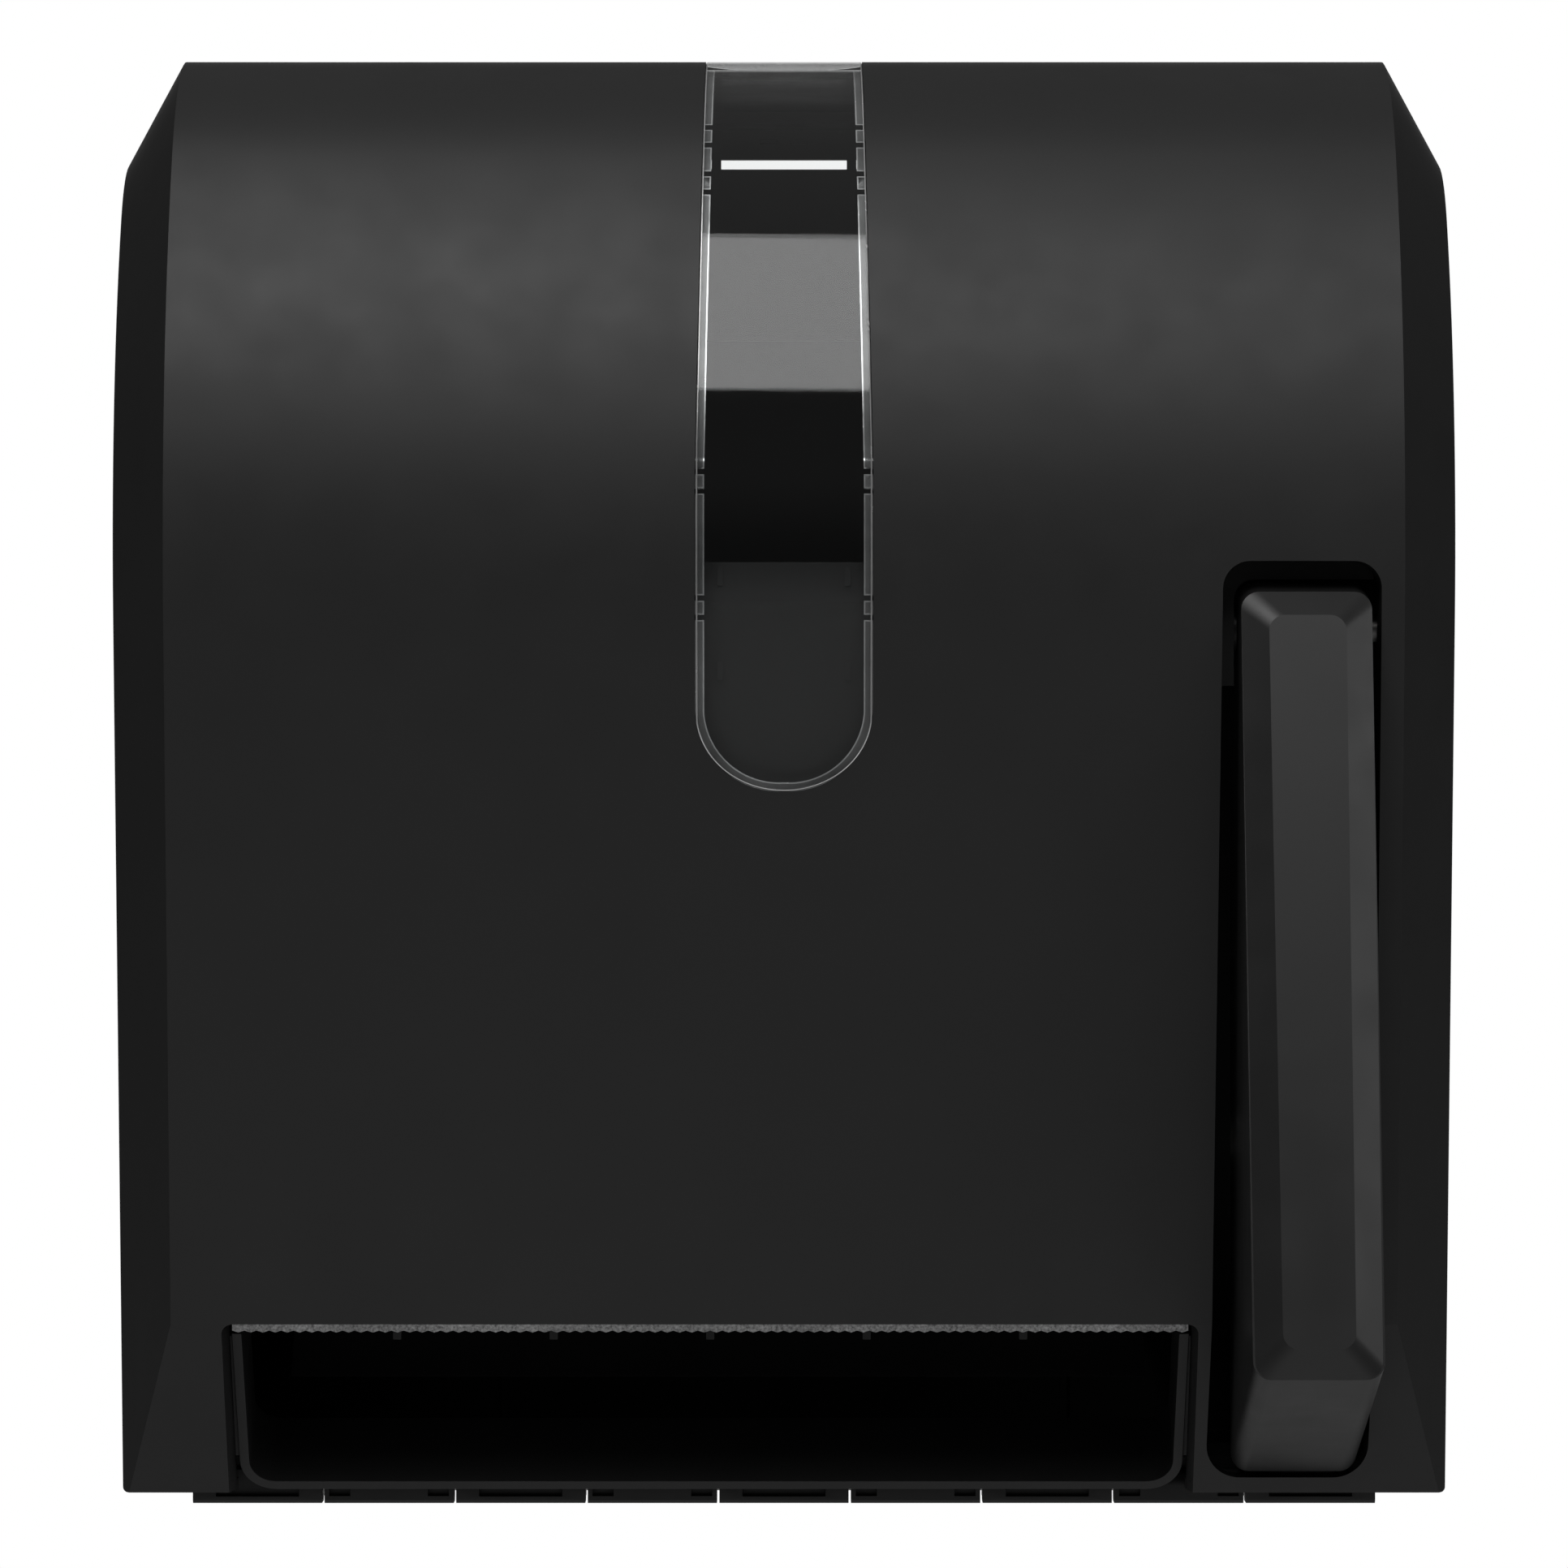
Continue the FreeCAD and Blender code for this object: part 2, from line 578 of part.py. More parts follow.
def window():
    """Clear strip with a rim wall on its edge, opened where the snap hooks stand."""
    column = window_column(0)
    inner = window_outline(-WINDOW_RIM, -6, WINDOW_BACK + 1)
    outer = hull(0.0)
    plate = outer.cut(hull(WINDOW_PLATE)).common(column)
    rim_back = WINDOW_BACK - WINDOW_BACK_RISE - 4
    rim = outer.cut(hull(WINDOW_RIM_DEPTH)).common(column).cut(inner)
    rim = rim.cut(block(-HALF, HALF, rim_back, WINDOW_BACK + 5, TOP_Z - 20, TOP_Z + 5))
    below = hull(WINDOW_PLATE)
    for z in SNAP_HEIGHTS:
        gap = block(-HALF, HALF, -5, rim_back, z - SNAP_GAP / 2, z + SNAP_GAP / 2)
        rim = rim.cut(gap.common(below))
    hooks = []
    reach = WINDOW_HALF + WINDOW_GAP + SNAP_BARB
    for z in SNAP_HEIGHTS:
        band = block(-reach, reach, -5, rim_back, z - SNAP_WIDTH / 2, z + SNAP_WIDTH / 2)
        stem = band.common(outer.cut(hull(WINDOW_RIM_DEPTH - 1))).common(column).cut(inner)
        barb_zone = hull(WALL + FIT / 2).cut(hull(WINDOW_RIM_DEPTH - 1))
        barb_column = window_outline(SNAP_BARB, -5, rim_back).cut(inner)
        hooks += [stem, band.common(barb_zone).common(barb_column)]
    return fuse([plate, rim] + hooks)


def exit_chute():
    """Scoop under the towel mouth: a U-shaped wall pushed square into the chin facet."""
    foot, up, inward = facet_frame()
    left = NOTCH_LEFT + NOTCH_DRAFT + CHUTE_GAP
    right = NOTCH_RIGHT - NOTCH_DRAFT - CHUTE_GAP
    sill = -(CHUTE_SETBACK * inward.y) / up.y

    def place(x, along):
        depth, z = chin_point(along, CHUTE_SETBACK)
        return V(x, y_at(depth), z)

    def cup(inset, extra):
        x0 = left + inset
        x1 = right - inset
        top = CHUTE_WALL_TOP + extra
        radius = CHUTE_CORNER - inset
        corners = [(x0, top), (x0 + CHUTE_TAPER, sill + inset, radius),
                   (x1 - CHUTE_TAPER, sill + inset, radius), (x1, top)]
        return outline(corners, place)

    way = V(0, inward.x, inward.y)
    outer = cup(0, 0).extrude(way * CHUTE_LENGTH)
    inner = cup(CHUTE_WALL, 5)
    inner.translate(way * -1)
    chute = outer.cut(inner.extrude(way * (CHUTE_LENGTH + 2)))
    ears = []
    for side, edge in ((-1, left), (1, right)):
        low_x, high_x = sorted((edge - side * 1.2, edge + side * CHUTE_EAR))
        corners = []
        for along, deep in ((4, 0), (CHUTE_WALL_TOP - 2, 0), (CHUTE_WALL_TOP - 2, 2), (4, 2)):
            corners.append(chin_point(along, NOTCH_REVEAL + FIT + deep))
        ears.append(plate_x(corners, low_x, high_x))
    return fuse([chute] + ears)


# ================================================================ lock
def lock_barrel():
    depth = BODY_DEPTH - LOCK_BACK
    body = rod_z(LOCK_BARREL_R, LOCK_X, depth, CAM_TOP_Z + FIT, TOP_Z + 0.1)
    head = rod_z(LOCK_HEAD_R, LOCK_X, depth, TOP_Z + 0.1, TOP_Z + 0.1 + LOCK_HEAD)
    bore = rod_z(LOCK_PLUG_R + RUN, LOCK_X, depth, TOP_Z - 30, TOP_Z + 5)
    return fuse([body, head]).cut(bore)


def lock_plug():
    depth = BODY_DEPTH - LOCK_BACK
    body = rod_z(LOCK_PLUG_R, LOCK_X, depth, CAM_TOP_Z, TOP_Z + LOCK_HEAD)
    stud = rod_z(CAM_SEAT_R, LOCK_X, depth, CAM_TOP_Z - CAM_THICK - 1.0, CAM_TOP_Z)
    key_slot = block(LOCK_X - 3.2, LOCK_X + 3.2, depth - 0.55, depth + 0.55, TOP_Z - 6, TOP_Z + 5)
    return fuse([body, stud]).cut(key_slot)


def lock_cam():
    depth = BODY_DEPTH - LOCK_BACK
    corners = [(LOCK_X - 6, depth - 5.5, 3), (LOCK_X + CAM_LENGTH, depth - 4, 2),
               (LOCK_X + CAM_LENGTH, depth + 4, 2), (LOCK_X - 6, depth + 5.5, 3)]
    cam = plate_z(corners, CAM_TOP_Z - CAM_THICK, CAM_TOP_Z)
    return cam.cut(rod_z(CAM_SEAT_R, LOCK_X, depth, CAM_TOP_Z - 5, CAM_TOP_Z + 1))


# ================================================================ back housing
def rear_slice(shape, thick):
    """The part of a shape within 'thick' of the wall face."""
    return shape.common(block(-HALF - 1, HALF + 1, BODY_DEPTH - thick, BODY_DEPTH, BOTTOM_Z - 1, TOP_Z + 1))


def back_housing():
    wall_depth = BODY_DEPTH - BACK_WALL
    tray_inset = WALL + TRAY_GAP
    inside = hull(tray_inset + TRAY_WALL, floor_z=BOTTOM_Z - 1)
    lip = rear_slice(hull(0.0, back=BODY_DEPTH), RIM_DEPTH).cut(inside)
    wall = rear_slice(hull(tray_inset, back=BODY_DEPTH, floor_z=BOTTOM_Z), BACK_WALL)
    tray = rear_slice(hull(tray_inset, back=BODY_DEPTH, floor_z=BOTTOM_Z), TRAY_DEPTH).cut(inside)
    floor = block(-TRAY_HALF, TRAY_HALF, FLOOR_FRONT, BODY_DEPTH, BOTTOM_Z, BOTTOM_Z + TRAY_WALL)
    rear = BODY_DEPTH - TRAY_DEPTH + 1
    cheek = [(rear, BOTTOM_Z), (FLOOR_FRONT, BOTTOM_Z), (FLOOR_FRONT, BOTTOM_Z + 14, 6),
             (rear - 41, BOTTOM_Z + 60, 25), (rear, BOTTOM_Z + 130)]
    cheeks = [plate_x(cheek, x, x + TRAY_WALL) for x in (-TRAY_HALF, TRAY_HALF - TRAY_WALL)]
    knuckles = []
    for i in range(0, KNUCKLE_COUNT, 2):
        x0, x1 = knuckle_ends(i)
        knuckles.append(knuckle(i, knuckle_slots(i)))
        knuckles.append(block(x0, x1, HINGE_DEPTH, FLOOR_FRONT + 1, HINGE_Z - KNUCKLE_R + 1.0, HINGE_Z + 1.2))
    ribs = [block(-RIB_REACH, RIB_REACH, wall_depth - RIB_HEIGHT, wall_depth + 1, z - 1, z + 1)
            for z in RIB_HEIGHTS]
    ribs += [block(x - 1, x + 1, wall_depth - RIB_HEIGHT, wall_depth + 1, BOTTOM_Z + 2, TRAY_TOP_Z - 2)
             for x in (-RIB_APART, RIB_APART)]
    marks = [block(x - MARK_HALF, x + MARK_HALF, wall_depth - MARK_RISE, wall_depth + 1,
                   MARK_Z - 0.65, MARK_Z + 0.65) for x in (-MARK_APART, MARK_APART)]
    housing = fuse([lip, wall, tray, floor] + cheeks + knuckles + ribs + marks)
    for x, z in screw_places():
        housing = housing.cut(rod_y(SCREW_HOLE_R, x, z, wall_depth - 10, BODY_DEPTH + 5))
    slit = block(-BACK_SLOT_HALF, BACK_SLOT_HALF, wall_depth - 10, BODY_DEPTH + 5,
                 BACK_SLOT_Z - BACK_SLOT_HEIGHT / 2, BACK_SLOT_Z + BACK_SLOT_HEIGHT / 2)
    return housing.cut(slit).cut(hinge_bore())


def screw_places():
    return [(sx * SCREW_SPACING_X / 2, SCREW_CENTRE_Z + sz * SCREW_SPACING_Z / 2)
            for sx in (-1, 1) for sz in (-1, 1)]


def hinge_pin():
    return rod_x(HINGE_PIN_R, -KNUCKLE_SPAN / 2 + 0.5, KNUCKLE_SPAN / 2 - 0.5, HINGE_DEPTH, HINGE_Z)


# ================================================================ drive frames
def frame_foot(x, z0, z1, away):
    """Flange of a frame that lies on the back wall, turned away from the towel."""
    depth = BODY_DEPTH - BACK_WALL - FIT
    x0, x1 = sorted((x, x + away * 16))
    return block(x0, x1, depth - 2.5, depth, z0, z1)


def left_frame():
    back = BODY_DEPTH - BACK_WALL - FIT
    corners = [(0, FRAME_BOTTOM_Z + 20), (50, FRAME_BOTTOM_Z, 8), (back, FRAME_BOTTOM_Z), (back, -66),
               (FEED_DEPTH + 70, -66, 10), (FEED_DEPTH + 40, FEED_Z + 34, 12),
               (FEED_DEPTH - 30, FEED_Z + 34, 12), (0, -20)]
    x0 = LEFT_FRAME_X
    plate = plate_x(corners, x0, x0 + FRAME_THICK).common(hull(PANEL_INSET + PANEL_THICK + FIT))
    plate = plate.cut(frame_holes(x0))
    return fuse([plate, frame_foot(x0 + FRAME_THICK, FRAME_BOTTOM_Z, -66, -1)])


def right_frame():
    back = BODY_DEPTH - BACK_WALL - FIT
    corners = [(0, FRAME_BOTTOM_Z + 20), (50, FRAME_BOTTOM_Z, 8), (back, FRAME_BOTTOM_Z), (back, -66),
               (FEED_DEPTH + 70, -66, 10), (FEED_DEPTH + 40, FEED_Z + 34, 12),
               (PIVOT_DEPTH + 38, PIVOT_Z - 62, 30), (PIVOT_DEPTH + 18, PIVOT_Z + 14, 12), (0, PIVOT_Z + 14)]
    x0 = RIGHT_FRAME_X
    plate = plate_x(corners, x0, x0 + FRAME_THICK).common(hull(PANEL_INSET + PANEL_THICK + FIT))
    plate = plate.cut(frame_holes(x0))
    plate = plate.cut(rod_x(BUSH_R, x0 - 1, x0 + FRAME_THICK + 1, PIVOT_DEPTH, PIVOT_Z))
    return fuse([plate, frame_foot(x0, FRAME_BOTTOM_Z, -66, 1)])


def frame_holes(x0):
    """Bearing seats and lightening holes that both frames share."""
    feed = rod_x(BUSH_R, x0 - 1, x0 + FRAME_THICK + 1, FEED_DEPTH, FEED_Z)
    seat = block(x0 - 1, x0 + FRAME_THICK + 1, PRESSURE_DEPTH - BLOCK_HALF, PRESSURE_DEPTH + GUIDE_LENGTH,
                 PRESSURE_Z - BLOCK_HALF, PRESSURE_Z + BLOCK_HALF)
    lights = [rod_x(12.0, x0 - 1, x0 + FRAME_THICK + 1, depth, z)
              for depth, z in ((FEED_DEPTH - 28, FEED_Z - 32), (BODY_DEPTH - 34, FEED_Z - 24))]
    return Part.makeCompound([feed, seat] + lights)


def bush(x0, depth, z, bore, inward):
    """Flanged bush in a frame, its flange on the towel's side (inward is +1 or -1)."""
    body = rod_x(BUSH_R - 0.02, x0, x0 + FRAME_THICK, depth, z)
    edge = x0 + FRAME_THICK if inward > 0 else x0
    f0, f1 = sorted((edge, edge + inward * 1.2))
    flange = rod_x(BUSH_FLANGE_R, f0, f1, depth, z)
    return fuse([body, flange]).cut(rod_x(bore, x0 - 5, x0 + FRAME_THICK + 5, depth, z))


def feed_bushes():
    return Part.makeCompound([bush(LEFT_FRAME_X, FEED_DEPTH, FEED_Z, FEED_SHAFT_R + RUN, 1),
                              bush(RIGHT_FRAME_X, FEED_DEPTH, FEED_Z, FEED_SHAFT_R + RUN, -1)])


def lever_bushes():
    return Part.makeCompound([bush(RIGHT_FRAME_X, PIVOT_DEPTH, PIVOT_Z, LEVER_SHAFT_R + RUN, -1),
                              bush(BRACKET_X, PIVOT_DEPTH, PIVOT_Z, LEVER_SHAFT_R + RUN, 1)])


def lever_bracket():
    """Plate on the back wall with the outer bearing of the lever's shaft and a hood behind the slot."""
    back = BODY_DEPTH - BACK_WALL - FIT
    front = SLOT_LIP_DEPTH + HOOD_GAP
    high = PIVOT_Z + HOOD_HEIGHT
    corners = [(front, PIVOT_Z - 12, 9), (PIVOT_DEPTH + 40, PIVOT_Z - 12, 20),
               (back, PIVOT_Z - 62), (back, PIVOT_Z + 22),
               (PIVOT_DEPTH + 60, PIVOT_Z + 20, 40), (front, high)]
    plate = plate_x(corners, BRACKET_X, BRACKET_X + FRAME_THICK)
    plate = plate.cut(rod_x(BUSH_R, BRACKET_X - 1, BRACKET_X + FRAME_THICK + 1, PIVOT_DEPTH, PIVOT_Z))
    for depth, z in ((130.0, 30.0), (168.0, 17.0)):
        plate = plate.cut(rod_x(11.0, BRACKET_X - 1, BRACKET_X + FRAME_THICK + 1, depth, z))
    foot = frame_foot(BRACKET_X + FRAME_THICK, PIVOT_Z - 62, PIVOT_Z + 22, -1)
    left = SLOT_LEFT
    right = BRACKET_X + 1
    side = LEVER_LEFT - HOOD_CLEAR
    low = LEVER_TOP_Z + LEVER_NOSE_RISE + HOOD_CLEAR
    inner = SLOT_RIGHT - HOOD_CLEAR
    above = SLOT_TOP_Z + FIT
    brow = [(right, high), (left, high), (left, PIVOT_Z - HOOD_DROP), (side, PIVOT_Z - HOOD_DROP),
            (side, low, 5), (inner, low), (inner, above), (right, above)]
    hood = plate_y(brow, front, front + 1.8)
    return fuse([plate, foot, hood])


def pressure_blocks():
    blocks = []
    for x0 in (LEFT_FRAME_X, RIGHT_FRAME_X):
        tall = BLOCK_HALF - 0.1
        body = block(x0 - 0.8, x0 + FRAME_THICK + 0.8, PRESSURE_DEPTH - BLOCK_HALF + 1.2,
                     PRESSURE_DEPTH + BLOCK_HALF, PRESSURE_Z - tall, PRESSURE_Z + tall)
        blocks.append(body.cut(rod_x(PRESSURE_SHAFT_R + RUN, x0 - 5, x0 + 10, PRESSURE_DEPTH, PRESSURE_Z)))
    return Part.makeCompound(blocks)


def pressure_springs():
    """Bowed leaf springs that push the pressure roller's blocks forwards."""
    springs = []
    near = PRESSURE_DEPTH + BLOCK_HALF + FIT / 2
    far = PRESSURE_DEPTH + GUIDE_LENGTH - FIT / 2
    middle = (near + far) / 2
    for x0 in (LEFT_FRAME_X, RIGHT_FRAME_X):
        place = side_plane(x0 - 0.8)
        low = PRESSURE_Z - 2.0
        bow = PRESSURE_Z + 2.0
        outer = Part.Arc(place(near, low), place(middle, bow + 0.6), place(far, low)).toShape()
        inner = Part.Arc(place(far - 0.6, low), place(middle, bow), place(near + 0.6, low)).toShape()
        edges = [outer, Part.makeLine(place(far, low), place(far - 0.6, low)), inner,
                 Part.makeLine(place(near + 0.6, low), place(near, low))]
        springs.append(Part.Face(Part.Wire(edges)).extrude(V(FRAME_THICK + 1.6, 0, 0)))
    return Part.makeCompound(springs)


# ================================================================ inner panel, tear bar, guide
def inner_panel():
    """Panel behind the window and the front wall; five guard tabs hang from its foot."""
    left = NOTCH_LEFT + NOTCH_DRAFT + 1.0
    right = NOTCH_RIGHT - NOTCH_DRAFT - 1.0
    sheet = hull(PANEL_INSET).cut(hull(PANEL_INSET + PANEL_THICK))
    zone = block(left, right, 0, front_depth(PANEL_BOTTOM_Z) + 30, PANEL_BOTTOM_Z, PANEL_TOP_Z)
    panel = sheet.common(zone)
    tabs = []
    middle = (left + right) / 2
    for i in range(TAB_COUNT):
        x = middle + (i - (TAB_COUNT - 1) / 2) * TAB_PITCH
        depth = front_depth(TAB_END_Z, PANEL_INSET)
        half = TAB_WIDTH / 2
        tabs.append(block(x - half, x + half, depth, depth + 1.6, TAB_END_Z, PANEL_BOTTOM_Z + 3))
    posts = []
    for x in (-15.5, 15.5):
        for z in (50.5, 27.5):
            depth = front_depth(z, PANEL_INSET) if z < 37 else PANEL_INSET + 0.4
            posts.append(block(x - 0.7, x + 0.7, depth - 0.6, depth + 1.5, z - 2.2, z + 2.2))
    return fuse([panel] + tabs + posts)


def tear_bar():
    """Steel strip with a serrated lower edge, in front of the panel's foot."""
    left = NOTCH_LEFT + NOTCH_DRAFT + 1.0
    right = NOTCH_RIGHT - NOTCH_DRAFT - 1.0
    count = int((right - left) / TOOTH_PITCH)
    pitch = (right - left) / count
    root = TEAR_TIP_Z + TOOTH_HEIGHT
    corners = [(right, TEAR_TOP_Z), (left, TEAR_TOP_Z), (left, root)]
    for i in range(count):
        corners.append((left + (i + 0.5) * pitch, TEAR_TIP_Z))
        corners.append((left + (i + 1) * pitch, root))
    slope = math.tan(LEAN)
    front = front_depth(TEAR_TOP_Z, PANEL_INSET - TEAR_THICK - 0.1)

    def place(x, z):
        return V(x, y_at(front + (TEAR_TOP_Z - z) * slope), z)

    return outline(corners, place).extrude(V(0, TEAR_THICK, 0))


def paper_guide():
    """Curved sheet between the frames that turns the towel from the nip to the chute."""
    x0 = LEFT_FRAME_X + FRAME_THICK + FIT
    x1 = RIGHT_FRAME_X - FIT
    start = (PRESSURE_DEPTH + 2, PRESSURE_Z - PRESSURE_R - 3)
    mid = (PRESSURE_DEPTH - 4, PRESSURE_Z - PRESSURE_R - 25)
    end = (HINGE_DEPTH + 18, HINGE_Z + 26)
    place = side_plane(x0)
    thick = 1.6
    front = Part.Arc(place(start[0], start[1]), place(mid[0], mid[1]), place(end[0], end[1])).toShape()
    back = Part.Arc(place(end[0] + thick, end[1] - 0.4), place(mid[0] + thick, mid[1] - 0.8),
                    place(start[0] + thick, start[1] - 0.2)).toShape()
    edges = [front, Part.makeLine(front.Vertexes[-1].Point, back.Vertexes[0].Point), back,
             Part.makeLine(back.Vertexes[-1].Point, front.Vertexes[0].Point)]
    return Part.Face(Part.Wire(edges)).extrude(V(x1 - x0, 0, 0))


# ================================================================ lever
def lever_side():
    """Corners of the lever's side outline: pad, top, rear edge and underside."""
    return [(0.0, LEVER_TOP_Z), (LEVER_NOSE_DEPTH, LEVER_TOP_Z + LEVER_NOSE_RISE, 4),
            (PIVOT_DEPTH + 12, PIVOT_Z + 9, 6), (LEVER_HEEL_DEPTH, PIVOT_Z - 14, 8),
            (LEVER_HEEL_DEPTH, LEVER_HEEL_Z), (-LEVER_REACH, LEVER_FOOT_Z)]


def pad_outline(rise, margin, taper, corner):
    """Rounded outline on a plane 'rise' in front of the pad's; its sides lean in towards the foot."""
    drop = LEVER_TOP_Z - LEVER_FOOT_Z
    length = math.hypot(LEVER_REACH, drop)
    way = V(0, -drop / length, LEVER_REACH / length) * rise

    def place(x, z):
        depth = -LEVER_REACH * (LEVER_TOP_Z - z) / drop
        return V(x, y_at(depth), z).add(way)

    left = LEVER_LEFT + margin
    right = LEVER_RIGHT - margin
    top = LEVER_TOP_Z - margin
    foot = LEVER_FOOT_Z + margin
    corners = [(left + taper, foot, corner), (right - taper, foot, corner), (right, top, corner),
               (left, top, corner)]
    return outline(corners, place)


def lever_body():
    """Wedge-shaped push lever: a hollow moulding with a bevelled pad on its front."""
    x0 = LEVER_LEFT
    x1 = LEVER_RIGHT
    rim = pad_outline(0.0, 0.0, LEVER_TAPER, PAD_CORNER)
    lower = rim.extrude(V(0, LEVER_HEEL_DEPTH + LEVER_REACH, LEVER_HEEL_Z - LEVER_FOOT_Z))
    upper = rim.extrude(V(0, LEVER_NOSE_DEPTH, LEVER_NOSE_RISE) * (LEVER_HEEL_DEPTH / LEVER_NOSE_DEPTH))
    ahead = -LEVER_REACH - 5
    below = LEVER_HEEL_Z - 20
    room = lever_side()[1:4] + [(LEVER_HEEL_DEPTH, below), (ahead, below), (ahead, LEVER_TOP_Z)]
    body = lower.fuse(upper).common(plate_x(room, x0 - 5, x1 + 5))
    inside = outline(lever_side(), side_plane(x0 + LEVER_WALL)).makeOffset2D(-LEVER_WALL)
    hollow = inside.extrude(V(x1 - x0 - 2 * LEVER_WALL, 0, 0))
    body = body.cut(hollow)
    hollow.translate(V(0, LEVER_WALL + 1, 0))
    body = body.cut(hollow)
    base = pad_outline(-0.01, 0.0, PAD_TAPER, PAD_CORNER)
    face = pad_outline(PAD_RISE, PAD_BEVEL, PAD_TAPER, PAD_CORNER - 0.5)
    pad = Part.makeLoft([base.OuterWire, face.OuterWire], True, True)
    hub = rod_x(LEVER_HUB_R, x0 - 1.5, x1 + 1.5, PIVOT_DEPTH, PIVOT_Z)
    ribs = []
    for z in (0.0, -45.0, -90.0, -130.0):
        front = -LEVER_REACH * (LEVER_TOP_Z - z) / (LEVER_TOP_Z - LEVER_FOOT_Z) + 1
        ribs.append(block(x0 + 1, x1 - 1, front, LEVER_HEEL_DEPTH - 12, z - 0.9, z + 0.9))
    neck = block(x0 + 1, x1 - 1, 4, PIVOT_DEPTH, PIVOT_Z - 1.2, PIVOT_Z + 1.2)
    lever = fuse([body, pad, hub, neck] + ribs)
    return lever.cut(rod_x(LEVER_SHAFT_R + 0.02, x0 - 20, x1 + 20, PIVOT_DEPTH, PIVOT_Z))


def lever_shaft():
    return rod_x(LEVER_SHAFT_R, RIGHT_FRAME_X - 4, BRACKET_X + FRAME_THICK + 4, PIVOT_DEPTH, PIVOT_Z)


# ================================================================ gears
def involute(base_r, radius):
    """Angle swept by the involute of a base circle out to a radius."""
    if radius <= base_r:
        return 0.0
    spread = math.sqrt((radius / base_r) ** 2 - 1)
    return spread - math.atan(spread)


def flank_angle(pitch_r, teeth, radius):
    """Half of a tooth's angle at a radius, with its share of the backlash taken off."""
    base_r = pitch_r * math.cos(PRESSURE_ANGLE)
    half = math.pi / (2 * teeth) - BACKLASH / 4 / pitch_r
    return half + involute(base_r, pitch_r) - involute(base_r, radius)


def polar(radius, angle):
    """(depth, z) offset at an angle measured from straight down towards the wall."""
    return V(radius * math.sin(angle), -radius * math.cos(angle), 0)


def tooth_edges(centre, place, pitch_r, teeth, axis_angle, next_angle):
    """Edges of one tooth and of the root up to the next tooth."""
    tip_r = pitch_r + MODULE
    root_r = pitch_r - 1.25 * MODULE
    low_r = max(root_r, pitch_r * math.cos(PRESSURE_ANGLE))
    mid_r = (low_r + tip_r) / 2
    tip_a = flank_angle(pitch_r, teeth, tip_r)
    mid_a = flank_angle(pitch_r, teeth, mid_r)
    low_a = flank_angle(pitch_r, teeth, low_r)

    def at(radius, angle):
        p = centre.add(polar(radius, angle))
        return place(p.x, p.y)

    def flank(r0, a0, r1, a1):
        if pitch_r > 20 * MODULE:
            return Part.makeLine(at(r0, a0), at(r1, a1))
        side = 1 if a0 > axis_angle else -1
        return Part.Arc(at(r0, a0), at(mid_r, axis_angle + side * mid_a), at(r1, a1)).toShape()

    edges = []
    if low_r > root_r + 1e-6:
        edges.append(Part.makeLine(at(root_r, axis_angle - low_a), at(low_r, axis_angle - low_a)))
    edges.append(flank(low_r, axis_angle - low_a, tip_r, axis_angle - tip_a))
    edges.append(Part.makeLine(at(tip_r, axis_angle - tip_a), at(tip_r, axis_angle + tip_a)))
    edges.append(flank(tip_r, axis_angle + tip_a, low_r, axis_angle + low_a))
    if low_r > root_r + 1e-6:
        edges.append(Part.makeLine(at(low_r, axis_angle + low_a), at(root_r, axis_angle + low_a)))
    if next_angle is not None:
        edges.append(Part.makeLine(at(root_r, axis_angle + low_a), at(root_r, next_angle - low_a)))
    return edges


def drive_pinion():
    place = side_plane(SECTOR_X - 0.4)
    centre = V(FEED_DEPTH, FEED_Z, 0)
    pitch = 2 * math.pi / PINION_TEETH
    first = CENTRES_ANGLE + math.pi + pitch / 2     # a space faces the sector's tooth
    edges = []
    for i in range(PINION_TEETH):
        here = first + i * pitch
        edges += tooth_edges(centre, place, PINION_R, PINION_TEETH, here, here + pitch)
    gear = Part.Face(Part.Wire(edges)).extrude(V(SECTOR_THICK + 0.8, 0, 0))
    return gear.cut(rod_x(FEED_SHAFT_R + RUN, SECTOR_X - 5, SECTOR_X + 10, FEED_DEPTH, FEED_Z))


def clutch_drum():
    """Roller clutch beside the pinion: it grips the feed shaft on the push stroke only."""
    x0 = SECTOR_X + SECTOR_THICK + 0.4
    return tube_x(6.6, FEED_SHAFT_R + RUN, x0, x0 + 4.6, FEED_DEPTH, FEED_Z)


